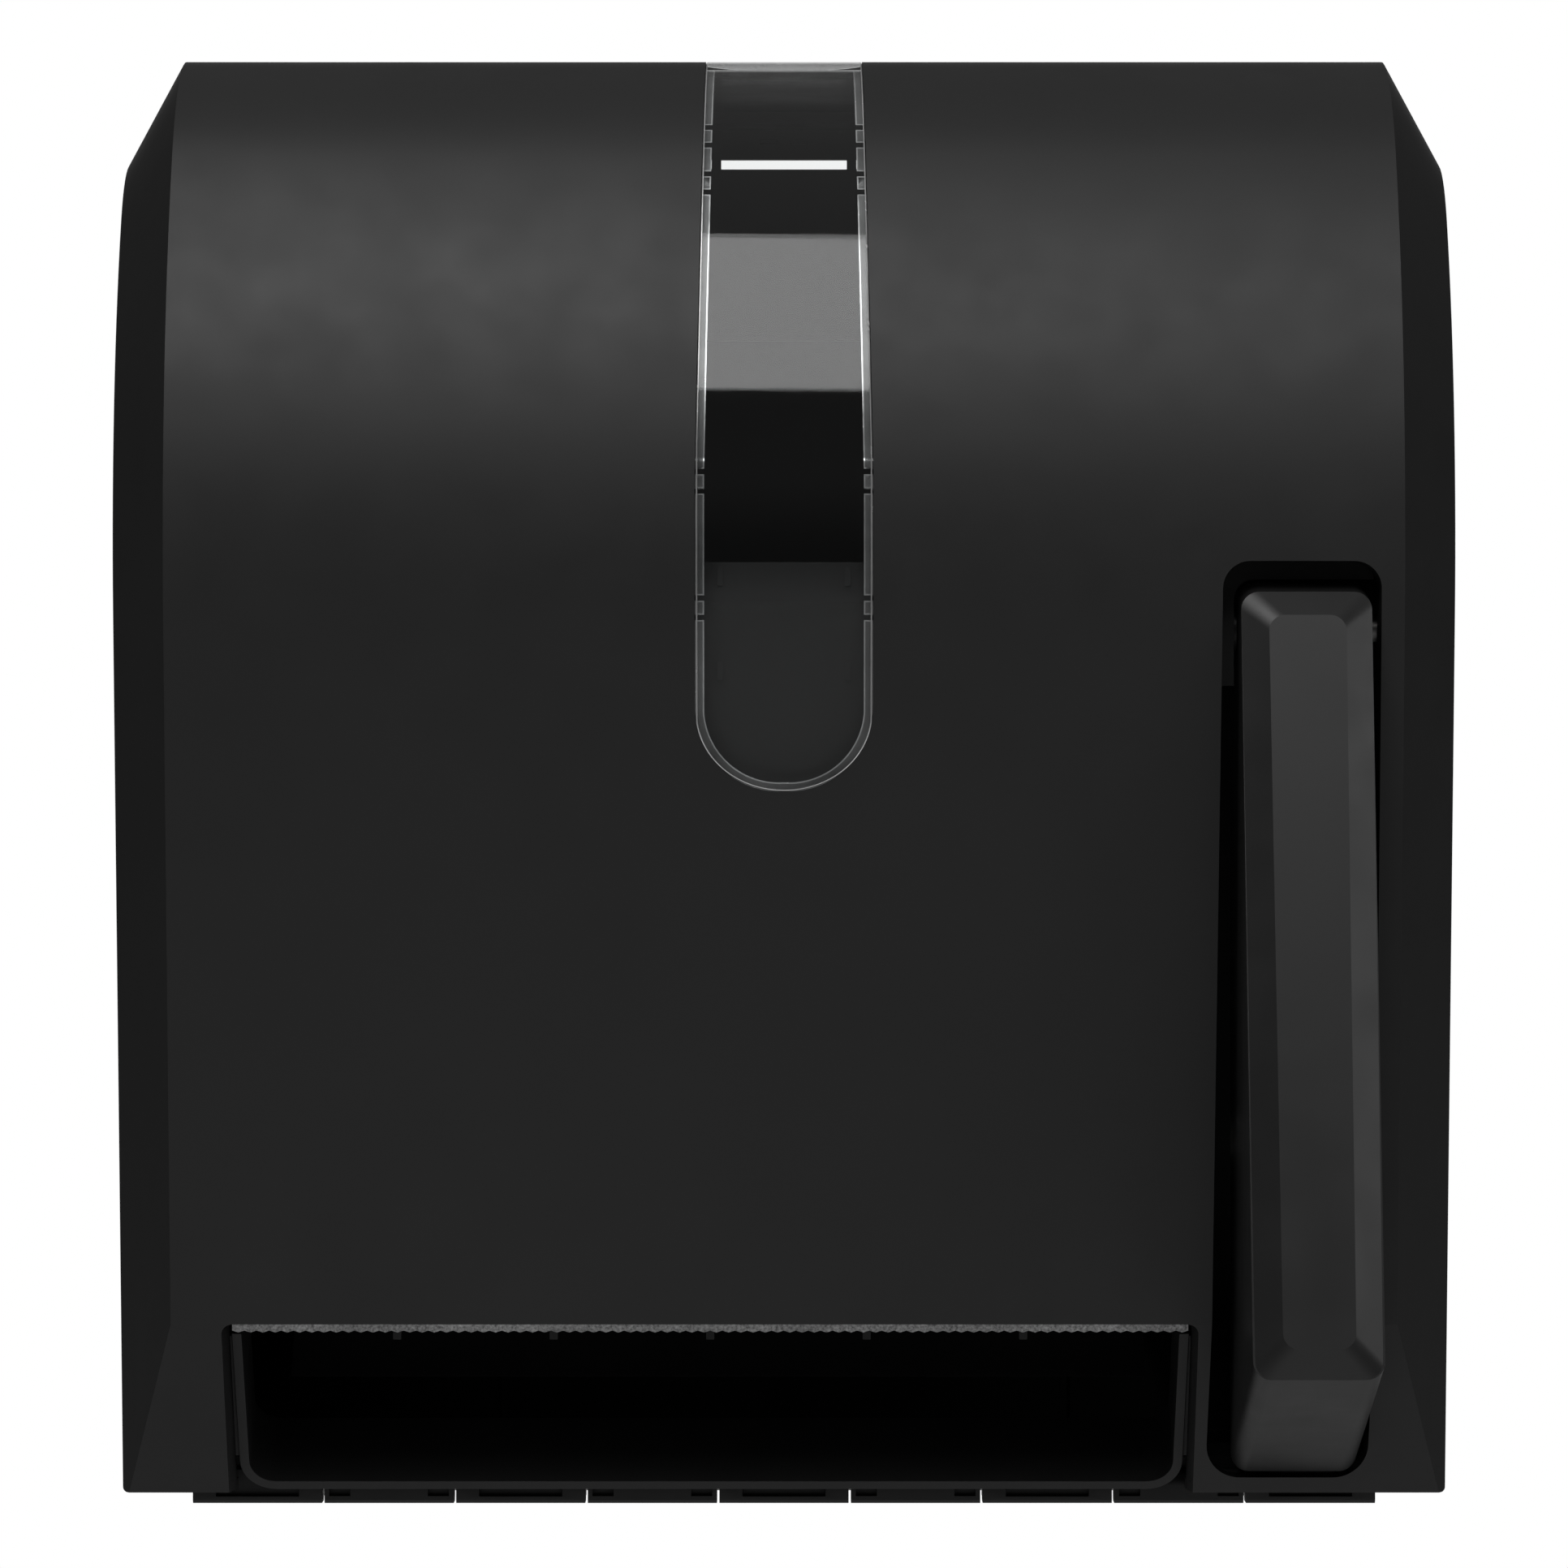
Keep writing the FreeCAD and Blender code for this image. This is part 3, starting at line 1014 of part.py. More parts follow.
def sector_gear():
    """Toothed sector keyed to the lever's shaft."""
    place = side_plane(SECTOR_X)
    centre = V(PIVOT_DEPTH, PIVOT_Z, 0)
    pitch = 2 * math.pi / SECTOR_TEETH
    behind = 2
    first = CENTRES_ANGLE - (SECTOR_TEETH_CUT - 1 - behind) * pitch
    low_r = SECTOR_R - 1.25 * MODULE
    inner_r = SECTOR_R - 12
    edges = []
    for i in range(SECTOR_TEETH_CUT):
        following = first + (i + 1) * pitch if i < SECTOR_TEETH_CUT - 1 else None
        edges += tooth_edges(centre, place, SECTOR_R, SECTOR_TEETH, first + i * pitch, following)
    half = flank_angle(SECTOR_R, SECTOR_TEETH, max(low_r, SECTOR_R * math.cos(PRESSURE_ANGLE)))
    start = first - half
    end = first + (SECTOR_TEETH_CUT - 1) * pitch + half

    def at(radius, angle):
        p = centre.add(polar(radius, angle))
        return place(p.x, p.y)

    middle = (start + end) / 2
    edges.append(Part.makeLine(at(low_r, end), at(inner_r, end)))
    edges.append(Part.Arc(at(inner_r, end), at(inner_r, middle), at(inner_r, start)).toShape())
    edges.append(Part.makeLine(at(inner_r, start), at(low_r, start)))
    band = Part.Face(Part.Wire(edges)).extrude(V(SECTOR_THICK, 0, 0))
    arms = []
    for angle in (start + 0.035, end - 0.035):
        a = centre.add(polar(inner_r + 4, angle))
        side = polar(1.0, angle + math.pi / 2)
        corners = [centre.add(side * 7.5), a.add(side * 4.5), a.sub(side * 4.5), centre.sub(side * 7.5)]
        arms.append(plate_x([(p.x, p.y) for p in corners], SECTOR_X, SECTOR_X + SECTOR_THICK))
    hub = rod_x(8.5, SECTOR_X - 1.0, SECTOR_X + SECTOR_THICK + 3.0, PIVOT_DEPTH, PIVOT_Z)
    gear = fuse([band, hub] + arms)
    return gear.cut(rod_x(LEVER_SHAFT_R + 0.02, SECTOR_X - 20, SECTOR_X + 20, PIVOT_DEPTH, PIVOT_Z))


# ================================================================ rollers
def grip_starts():
    span = RIGHT_FRAME_X - (LEFT_FRAME_X + FRAME_THICK)
    first = LEFT_FRAME_X + FRAME_THICK
    pitch = span / FEED_GRIP_COUNT
    return [first + (i + 0.5) * pitch - FEED_GRIP_WIDTH / 2 for i in range(FEED_GRIP_COUNT)]


def feed_shaft():
    return rod_x(FEED_SHAFT_R, LEFT_FRAME_X - 4, SECTOR_X + SECTOR_THICK + 5.6, FEED_DEPTH, FEED_Z)


def feed_drum():
    x0 = LEFT_FRAME_X + FRAME_THICK + 2.2
    x1 = RIGHT_FRAME_X - 2.2
    drum = rod_x(FEED_DRUM_R, x0, x1, FEED_DEPTH, FEED_Z)
    return drum.cut(rod_x(FEED_SHAFT_R + 0.02, x0 - 1, x1 + 1, FEED_DEPTH, FEED_Z))


def feed_grips():
    bore = FEED_DRUM_R + 0.02
    return Part.makeCompound([tube_x(FEED_GRIP_R, bore, x, x + FEED_GRIP_WIDTH, FEED_DEPTH, FEED_Z)
                              for x in grip_starts()])


def pressure_shaft():
    return rod_x(PRESSURE_SHAFT_R, LEFT_FRAME_X - 3, RIGHT_FRAME_X + FRAME_THICK + 2,
                 PRESSURE_DEPTH, PRESSURE_Z)


def pressure_core():
    x0 = LEFT_FRAME_X + FRAME_THICK + 2.2
    x1 = RIGHT_FRAME_X - 2.2
    core = rod_x(PRESSURE_CORE_R, x0, x1, PRESSURE_DEPTH, PRESSURE_Z)
    return core.cut(rod_x(PRESSURE_SHAFT_R + 0.02, x0 - 1, x1 + 1, PRESSURE_DEPTH, PRESSURE_Z))


def pressure_grips():
    bore = PRESSURE_CORE_R + 0.02
    return Part.makeCompound([tube_x(PRESSURE_R, bore, x, x + FEED_GRIP_WIDTH, PRESSURE_DEPTH, PRESSURE_Z)
                              for x in grip_starts()])


# ================================================================ roll holder
def arm_x(side):
    """Inner face of the arm on one side."""
    if side < 0:
        return TOWEL_LEFT - 7.0
    return TOWEL_RIGHT + 7.0


def roll_arm(side):
    """Flat arm from its upright pin at the wall to the towel roll's axis."""
    inner = arm_x(side)
    x0, x1 = sorted((inner, inner + side * ARM_THICK))
    root = BODY_DEPTH - ARM_PIVOT_BACK
    corners = [(ROLL_DEPTH - ARM_HALF, ROLL_Z - ARM_HALF, ARM_HALF * 0.98), (root, ROLL_Z - 16),
               (root, ROLL_Z + 16), (ROLL_DEPTH - ARM_HALF, ROLL_Z + ARM_HALF, ARM_HALF * 0.98)]
    arm = plate_x(corners, x0, x1)
    rib = [(ROLL_DEPTH, ROLL_Z - 3), (root, ROLL_Z - 3), (root, ROLL_Z + 3), (ROLL_DEPTH, ROLL_Z + 3)]
    outside = inner + side * ARM_THICK
    r0, r1 = sorted((outside - side * 0.5, outside + side * 3.0))
    spine = plate_x(rib, r0, r1)
    eye = rod_z(5.0, inner + side * ARM_THICK / 2, root, ROLL_Z - 16, ROLL_Z + 16)
    journal_in = inner - side * 8.0
    j0, j1 = sorted((inner + side * 0.5, journal_in))
    journal = rod_x(5.0, j0, j1, ROLL_DEPTH, ROLL_Z)
    arm = fuse([arm, spine, eye, journal])
    return arm.cut(rod_z(ARM_PIN_R + RUN, inner + side * ARM_THICK / 2, root, ROLL_Z - 30, ROLL_Z + 30))


def roll_hub(side):
    """Turning plug that holds the core of the towel roll."""
    inner = arm_x(side)
    start = inner - side * FIT
    f0, f1 = sorted((start, start - side * 2.4))
    flange = rod_x(HUB_FLANGE_R, f0, f1, ROLL_DEPTH, ROLL_Z)
    p0, p1 = sorted((start, start - side * (2.4 + HUB_PLUG)))
    plug = rod_x(HUB_R, p0, p1, ROLL_DEPTH, ROLL_Z)
    hub = fuse([flange, plug])
    b0, b1 = sorted((inner + side * 3, inner - side * 8.4))
    return hub.cut(rod_x(5.0 + RUN, b0, b1, ROLL_DEPTH, ROLL_Z))


def arm_brackets():
    """Forked brackets on the back wall that hold the arms' upright pins."""
    brackets = []
    back = BODY_DEPTH - BACK_WALL
    for side in (-1, 1):
        centre = arm_x(side) + side * ARM_THICK / 2
        root = BODY_DEPTH - ARM_PIVOT_BACK
        plate = block(centre - 11, centre + 11, back - 2.0 - FIT, back - FIT, ROLL_Z - 24, ROLL_Z + 24)
        ears = []
        for z in (ROLL_Z - 16 - FIT - 4, ROLL_Z + 16 + FIT):
            corners = [(centre - 3, root - 6), (centre + 3, root - 6), (centre + 6, root - 3),
                       (centre + 6, back - 1), (centre - 6, back - 1), (centre - 6, root - 3)]
            ears.append(plate_z(corners, z, z + 4))
        bracket = fuse([plate] + ears)
        bracket = bracket.common(block(-HALF, HALF, 0, back - FIT, TOP_Z - 400, TOP_Z))
        brackets.append(bracket.cut(rod_z(ARM_PIN_R + 0.02, centre, root, ROLL_Z - 40, ROLL_Z + 40)))
    return Part.makeCompound(brackets)


def arm_pins():
    pins = []
    for side in (-1, 1):
        centre = arm_x(side) + side * ARM_THICK / 2
        pins.append(rod_z(ARM_PIN_R, centre, BODY_DEPTH - ARM_PIVOT_BACK, ROLL_Z - 20.5, ROLL_Z + 20.5))
    return Part.makeCompound(pins)


# ================================================================ build
NODES = {
    "back_housing": back_housing,
    "cover_shell": cover_shell,
    "window": window,
    "exit_chute": exit_chute,
    "hinge_pin": hinge_pin,
    "lock_barrel": lock_barrel,
    "lock_plug": lock_plug,
    "lock_cam": lock_cam,
    "left_frame": left_frame,
    "right_frame": right_frame,
    "feed_bushes": feed_bushes,
    "lever_bushes": lever_bushes,
    "lever_bracket": lever_bracket,
    "pressure_blocks": pressure_blocks,
    "pressure_springs": pressure_springs,
    "inner_panel": inner_panel,
    "tear_bar": tear_bar,
    "paper_guide": paper_guide,
    "lever_body": lever_body,
    "lever_shaft": lever_shaft,
    "sector_gear": sector_gear,
    "drive_pinion": drive_pinion,
    "clutch_drum": clutch_drum,
    "feed_shaft": feed_shaft,
    "feed_drum": feed_drum,
    "feed_grips": feed_grips,
    "pressure_shaft": pressure_shaft,
    "pressure_core": pressure_core,
    "pressure_grips": pressure_grips,
    "left_arm": lambda: roll_arm(-1),
    "right_arm": lambda: roll_arm(1),
    "left_hub": lambda: roll_hub(-1),
    "right_hub": lambda: roll_hub(1),
    "arm_brackets": arm_brackets,
    "arm_pins": arm_pins,
}

os.makedirs("parts", exist_ok=True)
for node, make in NODES.items():
    save(make(), node)
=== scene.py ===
"""Lever paper towel dispenser: finishes, detailed pieces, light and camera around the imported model."""

import contextlib
import json
import math

import bmesh
import bpy
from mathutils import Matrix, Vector


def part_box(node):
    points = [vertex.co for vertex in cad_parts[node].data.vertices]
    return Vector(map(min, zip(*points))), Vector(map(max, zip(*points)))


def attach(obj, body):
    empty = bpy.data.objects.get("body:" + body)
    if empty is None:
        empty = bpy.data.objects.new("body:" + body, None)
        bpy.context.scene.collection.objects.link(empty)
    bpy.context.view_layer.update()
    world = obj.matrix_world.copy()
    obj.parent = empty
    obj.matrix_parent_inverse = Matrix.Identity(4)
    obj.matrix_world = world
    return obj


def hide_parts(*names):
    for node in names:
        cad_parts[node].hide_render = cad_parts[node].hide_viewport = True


bl_info = {
    "name": "Lever paper towel dispenser",
    "version": (1, 0, 0),
    "blender": (4, 5, 0),
    "location": "View3D > Sidebar > Dispenser",
    "description": "Builds the visible pieces, finishes and studio of a wall-mounted lever towel dispenser",
    "category": "Object",
}

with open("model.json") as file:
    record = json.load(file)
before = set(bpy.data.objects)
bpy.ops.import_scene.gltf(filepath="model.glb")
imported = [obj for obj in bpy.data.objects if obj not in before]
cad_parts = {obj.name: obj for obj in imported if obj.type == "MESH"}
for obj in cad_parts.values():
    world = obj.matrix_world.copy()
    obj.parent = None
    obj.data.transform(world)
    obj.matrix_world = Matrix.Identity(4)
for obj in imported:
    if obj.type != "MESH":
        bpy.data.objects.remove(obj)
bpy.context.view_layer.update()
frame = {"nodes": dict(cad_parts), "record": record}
MM = 0.001
SLOTS = {entry["node"]: entry["material_slot"] for entry in frame["record"]["subparts"]}

# Axes of the two rollers, in metres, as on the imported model.
FEED_AXIS = (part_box("feed_shaft")[0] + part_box("feed_shaft")[1]) / 2
PRESS_AXIS = (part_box("pressure_shaft")[0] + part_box("pressure_shaft")[1]) / 2

# Side form of the cover, in metres: flat top, brow arc, belt arc and leaning front.
COVER_LOW, COVER_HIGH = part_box("cover_shell")
BROW_RADIUS = 62.0 * MM
BROW_CENTRE = 80.5 * MM         # the brow's axis behind the foremost point of the belt
BROW_AXIS = Vector((0.0, COVER_LOW.y + BROW_CENTRE, COVER_HIGH.z - BROW_RADIUS))
BELT_HEIGHT = 60.0 * MM
FRONT_LEAN = math.radians(7.6)
BROW_BACK = BROW_AXIS.y - COVER_LOW.y
BROW_RISE = BROW_AXIS.z - BELT_HEIGHT
BELT_RADIUS = (BROW_RADIUS ** 2 - BROW_BACK ** 2 - BROW_RISE ** 2) / 2 / (BROW_RADIUS - BROW_BACK)
BELT_AXIS = Vector((0.0, COVER_LOW.y + BELT_RADIUS, BELT_HEIGHT))
JOIN_ANGLE = math.atan2(BROW_RISE, BELT_RADIUS - BROW_BACK)

# Window strip: its outline, its thickness, and the painted highlight lines along its bevel and its rim
# walls.
STRIP_LOW, STRIP_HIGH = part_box("window")
STRIP_HALF = 21.6 * MM
STRIP_TOP_HALF = 19.5 * MM
STRIP_TAPER_HEIGHT = 75.0 * MM
STRIP_FOOT_RISE = 19.0 * MM
STRIP_END_RISE = 12.5 * MM
STRIP_THICKNESS = 2.0 * MM
STRIP_STEP = 0.1 * MM           # thin gap between the strip and its rim walls
STRIP_ROUND = 0.4 * MM
BEVEL_DEPTH = 0.5 * MM          # how deep under the cover's form the strip's bevel reaches
BEVEL_TURN = 0.25               # how far a face is turned away before it counts as bevel
RIM_FLAT = 0.2                  # how far a face of the rim may be turned and still count as its front
# RIM_LINE is the width of the rim's painted highlight line.
RIM_LINE = 0.35 * MM
BROW_STEPS = 56
BELT_STEPS = 44
RIM_REACH = STRIP_THICKNESS + STRIP_STEP + 0.02 * MM

# How far the sheets and cutters of the strip reach past what they have to cover.
SPARE_SIDE = 3.0 * MM
SPARE_BACK = 4.0 * MM
SPARE_FOOT = 5.0 * MM
SPARE_FRONT = 5.0 * MM
SPARE_TOP = 10.0 * MM
SPARE_REAR = 20.0 * MM
SKIN_OUT = 1.0 * MM

# Rounding of the mouldings' edges, and the bodies of the inner ones.
LEVER_ROUND = 0.6 * MM
SCOOP_ROUND = 0.5 * MM
HOUSING_ROUND = 0.3 * MM
INNER_ROUND = 0.35 * MM
INNER_MOULDINGS = {"left_frame": "housing", "right_frame": "housing", "lever_bracket": "housing",
                   "arm_brackets": "housing", "left_arm": "arm_left", "right_arm": "arm_right",
                   "left_hub": "hub_left", "right_hub": "hub_right"}

# Grooves around the rubber sleeves of the two rollers.
GROOVE_PITCH = 4.0 * MM
GROOVE_WIDTH = 1.2 * MM
GROOVE_DEPTH = 0.6 * MM

# Cleaning of meshes: points to weld, flat faces to join, slivers to drop and slits to close.
WELD = 2e-6
FLAT = math.radians(0.6)
SLIVER = 4e-6
SLIT = 6e-5
TINY = 1e-6

# Studio: the floor, the greys that gloss sees from straight down (0) to straight up (1), and how wide
# the white behind the dispenser is to gloss and through clear pieces, in degrees.
FLOOR_RADIUS = 3.0
FLOOR_CENTRE = -1.6
FLOOR_LIFT = 0.55
SURROUND_GREYS = ((0.0, 0.14), (0.42, 0.13), (0.47, 0.02), (0.52, 0.03), (0.60, 0.07), (0.72, 0.07),
                  (0.90, 0.20), (1.0, 0.28))
BACKDROP_HALF = 8.0
BACKDROP_FADE = 22.0
WHITE = (1.0, 1.0, 1.0, 1.0)


# ---------------------------------------------------------------- helpers: selection and pieces
def only(piece):
    """Selects one piece and nothing else."""
    bpy.ops.object.select_all(action="DESELECT")
    piece.hide_set(False)
    piece.select_set(True)
    bpy.context.view_layer.objects.active = piece


@contextlib.contextmanager
def editing(piece, kind="VERT"):
    """Edit mode on one piece, with its points or its faces open to selection."""
    only(piece)
    bpy.ops.object.mode_set(mode="EDIT")
    bpy.ops.mesh.select_mode(type=kind)
    yield
    bpy.ops.object.mode_set(mode="OBJECT")


def select_points(piece, test):
    """In edit mode, selects the piece's points that pass a test, with what lies between them."""
    bpy.ops.mesh.select_mode(type="VERT")
    bpy.ops.mesh.select_all(action="DESELECT")
    mesh = bmesh.from_edit_mesh(piece.data)
    for vertex in mesh.verts:
        vertex.select_set(test(vertex.co))
    mesh.select_flush(True)
    bmesh.update_edit_mesh(piece.data)


def extrude(y=0.0, z=0.0):
    """In edit mode, extrudes what is selected by a distance."""
    bpy.ops.mesh.extrude_region_move(TRANSFORM_OT_translate={"value": (0.0, y, z)})


def primitive(kind, name, **settings):
    """Adds a primitive alone in the selection and returns it."""
    bpy.ops.object.select_all(action="DESELECT")
    getattr(bpy.ops.mesh, "primitive_" + kind + "_add")(**settings)
    piece = bpy.context.active_object
    piece.name = name
    bpy.ops.object.transform_apply(location=True, rotation=True, scale=True)
    return piece


def copy_of(node, name):
    """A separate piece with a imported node's shape, its loose triangles joined into faces."""
    piece = bpy.data.objects.new(name, frame["nodes"][node].data.copy())
    bpy.context.scene.collection.objects.link(piece)
    piece.data.materials.clear()
    only(piece)
    bpy.ops.mesh.customdata_custom_splitnormals_clear()
    with editing(piece):
        bpy.ops.mesh.select_all(action="SELECT")
        bpy.ops.mesh.remove_doubles(threshold=WELD)
        bpy.ops.mesh.dissolve_limited(angle_limit=FLAT)
    return piece


def with_modifier(piece, kind, **settings):
    """Adds a modifier to a piece and applies it at once."""
    only(piece)
    modifier = piece.modifiers.new(kind.lower(), kind)
    for key, value in settings.items():
        setattr(modifier, key, value)
    bpy.ops.object.modifier_apply(modifier=modifier.name)


def round_edges(piece, width, segments=2, angle=28.0):
    """Rounds the edges of a piece where it turns by more than an angle, in degrees."""
    with_modifier(piece, "BEVEL", width=width, segments=segments, limit_method="ANGLE",
                  angle_limit=math.radians(angle), use_clamp_overlap=True, harden_normals=False)


def boolean(piece, other, operation):
    """Joins, cuts or keeps the common part of two solids, and removes the second."""
    with_modifier(piece, "BOOLEAN", object=other, operation=operation, solver="EXACT")
    bpy.data.objects.remove(other, do_unlink=True)


def mend(piece):
    """Drops the slivers that a bevel or a cut leaves, and closes the slits."""
    with editing(piece):
        bpy.ops.mesh.select_all(action="SELECT")
        bpy.ops.mesh.dissolve_degenerate(threshold=SLIVER)
        bpy.ops.mesh.select_all(action="DESELECT")
        bpy.ops.mesh.select_non_manifold()
        bpy.ops.mesh.remove_doubles(threshold=SLIT)
        bpy.ops.mesh.select_all(action="DESELECT")
        bpy.ops.mesh.select_non_manifold()
        bpy.ops.mesh.fill_holes(sides=0)


def smooth(piece, angle=14.0):
    """Shades a piece smooth where its faces turn by less than an angle, in degrees."""
    only(piece)
    bpy.ops.object.shade_smooth_by_angle(angle=math.radians(angle))


def dress(piece, *materials):
    """Gives a piece its finishes, of which the first is on all its faces."""
    piece.data.materials.clear()
    for material in materials:
        piece.data.materials.append(material)


def place(piece, body, slot, *nodes):
    """Ties a finished piece to its body and hides the nodes it stands for; the slot argument is not used.
    """
    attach(piece, body)
    if nodes:
        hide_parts(*nodes)


def dress_node(node):
    """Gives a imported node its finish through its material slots."""
    data = frame["nodes"][node].data
    material = finishes()[SLOTS[node]]
    if not data.materials:
        data.materials.append(material)
    for i in range(len(data.materials)):
        data.materials[i] = material


def softened(node, name, body, width, segments=2):
    """A node's own shape as a separate piece with its edges rounded."""
    piece = copy_of(node, name)
    if width > 0:
        round_edges(piece, width, segments)
        mend(piece)
    smooth(piece)
    dress(piece, finishes()[SLOTS[node]])
    place(piece, body, SLOTS[node], node)


# ---------------------------------------------------------------- helpers: shader nodes
class Nodes:
    """Short way to add and join the nodes of a material or a world."""

    def __init__(self, owner, output="ShaderNodeOutputMaterial"):
        self.owner = owner
        owner.use_nodes = True
        self.tree = owner.node_tree
        self.tree.nodes.clear()
        self.out = self.add(output)
        self.coords = self.add("ShaderNodeTexCoord")

    def add(self, kind, values=None, **settings):
        """Adds a node with its settings; 'values' holds a value or another node's output per socket."""
        node = self.tree.nodes.new(kind)
        for key, value in settings.items():
            setattr(node, key, value)
        for key, value in (values or {}).items():
            self.put(value, node.inputs[key])
        return node

    def put(self, value, socket):
        """Links a socket to another node's output, or sets it to a value."""
        if isinstance(value, bpy.types.NodeSocket):
            self.tree.links.new(value, socket)
        else:
            socket.default_value = value

    def noise(self, scale, detail=2.0, rough=0.5, stretch=None):
        """Noise in the object's own coordinates; scale is in features per metre."""
        source = self.coords.outputs["Object"]
        if stretch:
            source = self.add("ShaderNodeMapping", {"Vector": source, "Scale": stretch}).outputs["Vector"]
        return self.add("ShaderNodeTexNoise", {
            "Vector": source, "Scale": scale, "Detail": detail, "Roughness": rough}).outputs["Fac"]

    def spread(self, source, low, high, from_low=0.3, from_high=0.7):
        """Brings a value from one range to another and keeps it inside."""
        return self.add("ShaderNodeMapRange", {
            "Value": source, "From Min": from_low, "From Max": from_high,
            "To Min": low, "To Max": high}).outputs["Result"]

    def calculate(self, operation, a, b):
        return self.add("ShaderNodeMath", {0: a, 1: b}, operation=operation).outputs[0]

    def mix(self, factor, a, b):
        """The colour between two colours."""
        node = self.add("ShaderNodeMix", {0: factor}, data_type="RGBA")
        for value, socket in zip((a, b), [slot for slot in node.inputs if slot.type == "RGBA"]):
            self.put(value, socket)
        return [slot for slot in node.outputs if slot.type == "RGBA"][0]

    def mix_shaders(self, factor, a, b):
        return self.add("ShaderNodeMixShader", {0: factor, 1: a.outputs[0], 2: b.outputs[0]})

    def bump(self, height, strength, distance):
        return self.add("ShaderNodeBump", {
            "Height": height, "Strength": strength, "Distance": distance}).outputs["Normal"]

    def worn_edges(self, radius):
        """1 along convex and concave edges, 0 on the faces between them."""
        bevel = self.add("ShaderNodeBevel", {"Radius": radius}, samples=4)
        geometry = self.add("ShaderNodeNewGeometry")
        dot = self.add("ShaderNodeVectorMath", {
            0: bevel.outputs["Normal"], 1: geometry.outputs["Normal"]}, operation="DOT_PRODUCT")
        return self.spread(dot.outputs["Value"], 1.0, 0.0, 0.75, 0.995)

    def finish(self, shader):
        """Joins the last shader to the output and returns the material or world."""
        self.put(shader.outputs[0], self.out.inputs["Surface"])
        return self.owner


def tint(value, factor):
    """A colour made darker or paler."""
    return tuple(min(1.0, c * factor) for c in value[:3]) + (1.0,)


def grey(value):
    return (value, value, value, 1.0)


# ---------------------------------------------------------------- finishes
def moulded_plastic(name, colour, rough, grain=2400.0, relief=0.12):
    """Spark-textured moulded plastic: fine grain, faint cloudiness, paler rubbed edges."""
    n = Nodes(bpy.data.materials.new(name))
    cloudy = n.mix(n.spread(n.noise(22.0, 3.0), 0.0, 1.0), tint(colour, 0.93), tint(colour, 1.07))
    flecked = n.mix(n.spread(n.noise(grain * 0.4), 0.0, 0.10, 0.55, 0.75), cloudy, tint(colour, 1.8))
    patches = n.spread(n.noise(140.0, 3.0), 0.0, 0.35, 0.4, 0.75)
    rubbed = n.calculate("MULTIPLY", n.worn_edges(0.6 * MM), patches)
    return n.finish(n.add("ShaderNodeBsdfPrincipled", {
        "IOR": 1.5,
        "Base Color": n.mix(rubbed, flecked, tint(colour, 2.6)),
        "Roughness": n.spread(n.noise(60.0, 4.0), rough - 0.03, rough + 0.04),
        "Normal": n.bump(n.noise(grain, 3.0, 0.6), relief, 0.03 * MM)}))


def drawn_steel(name, colour, rough, grain=900.0, stretch=(1.0, 1.0, 1.0), dark=0.86, pale=1.08):
    """Bright steel with fine drawing lines or grain, and faint dull patches."""
    n = Nodes(bpy.data.materials.new(name))
    lines = n.noise(grain, 4.0, 0.6, stretch)
    return n.finish(n.add("ShaderNodeBsdfPrincipled", {
        "Metallic": 1.0,
        "Base Color": n.mix(n.spread(lines, 0.0, 1.0), tint(colour, dark), tint(colour, pale)),
        "Roughness": n.spread(n.noise(80.0, 3.0), rough - 0.06, rough + 0.10),
        "Normal": n.bump(lines, 0.10, 0.02 * MM)}))


def rubber(name, colour):
    """Matt rubber with a dusty bloom."""
    n = Nodes(bpy.data.materials.new(name))
    bloom = n.spread(n.noise(90.0, 4.0), 0.0, 0.5, 0.45, 0.8)
    return n.finish(n.add("ShaderNodeBsdfPrincipled", {
        "Specular IOR Level": 0.3,
        "Base Color": n.mix(bloom, colour, tint(colour, 2.0)),
        "Roughness": n.spread(n.noise(200.0, 3.0), 0.72, 0.88),
        "Normal": n.bump(n.noise(1800.0, 3.0), 0.25, 0.05 * MM)}))


def thin_clear_plastic(name):
    """Clear sheet that mirrors more at a glancing angle and lets the rest straight through."""
    n = Nodes(bpy.data.materials.new(name))
    facing = n.add("ShaderNodeLayerWeight", {"Blend": 0.5})
    mirror = n.spread(n.calculate("POWER", facing.outputs["Facing"], 5.0), 0.043, 1.0, 0.0, 1.0)
    haze = n.spread(n.noise(8.0, 3.0), 0.0, 1.0)
    through = n.add("ShaderNodeBsdfTransparent", {
        "Color": n.mix(haze, (0.95, 0.96, 0.96, 1.0), (0.98, 0.985, 0.985, 1.0))})
    shine = n.add("ShaderNodeBsdfGlossy", {
        "Roughness": n.spread(n.noise(90.0, 4.0), 0.02, 0.05),
        "Normal": n.bump(n.noise(25.0), 0.02, 0.1 * MM)})
    return n.finish(n.mix_shaders(mirror, through, shine))


def thick_clear_plastic(name):
    """Clear moulded wall that bends what is seen through it; lamps reach through."""
    n = Nodes(bpy.data.materials.new(name))
    haze = n.spread(n.noise(8.0, 3.0), 0.0, 1.0)
    wall = n.add("ShaderNodeBsdfPrincipled", {
        "Transmission Weight": 1.0,
        "IOR": 1.5,
        "Base Color": n.mix(haze, (0.93, 0.95, 0.95, 1.0), (0.97, 0.98, 0.98, 1.0)),
        "Roughness": n.spread(n.noise(90.0, 4.0), 0.02, 0.08),
        "Normal": n.bump(n.noise(60.0), 0.05, 0.2 * MM)})
    through = n.add("ShaderNodeBsdfTransparent", {"Color": (0.9, 0.91, 0.91, 1.0)})
    rays = n.add("ShaderNodeLightPath")
    return n.finish(n.mix_shaders(rays.outputs["Is Shadow Ray"], wall, through))


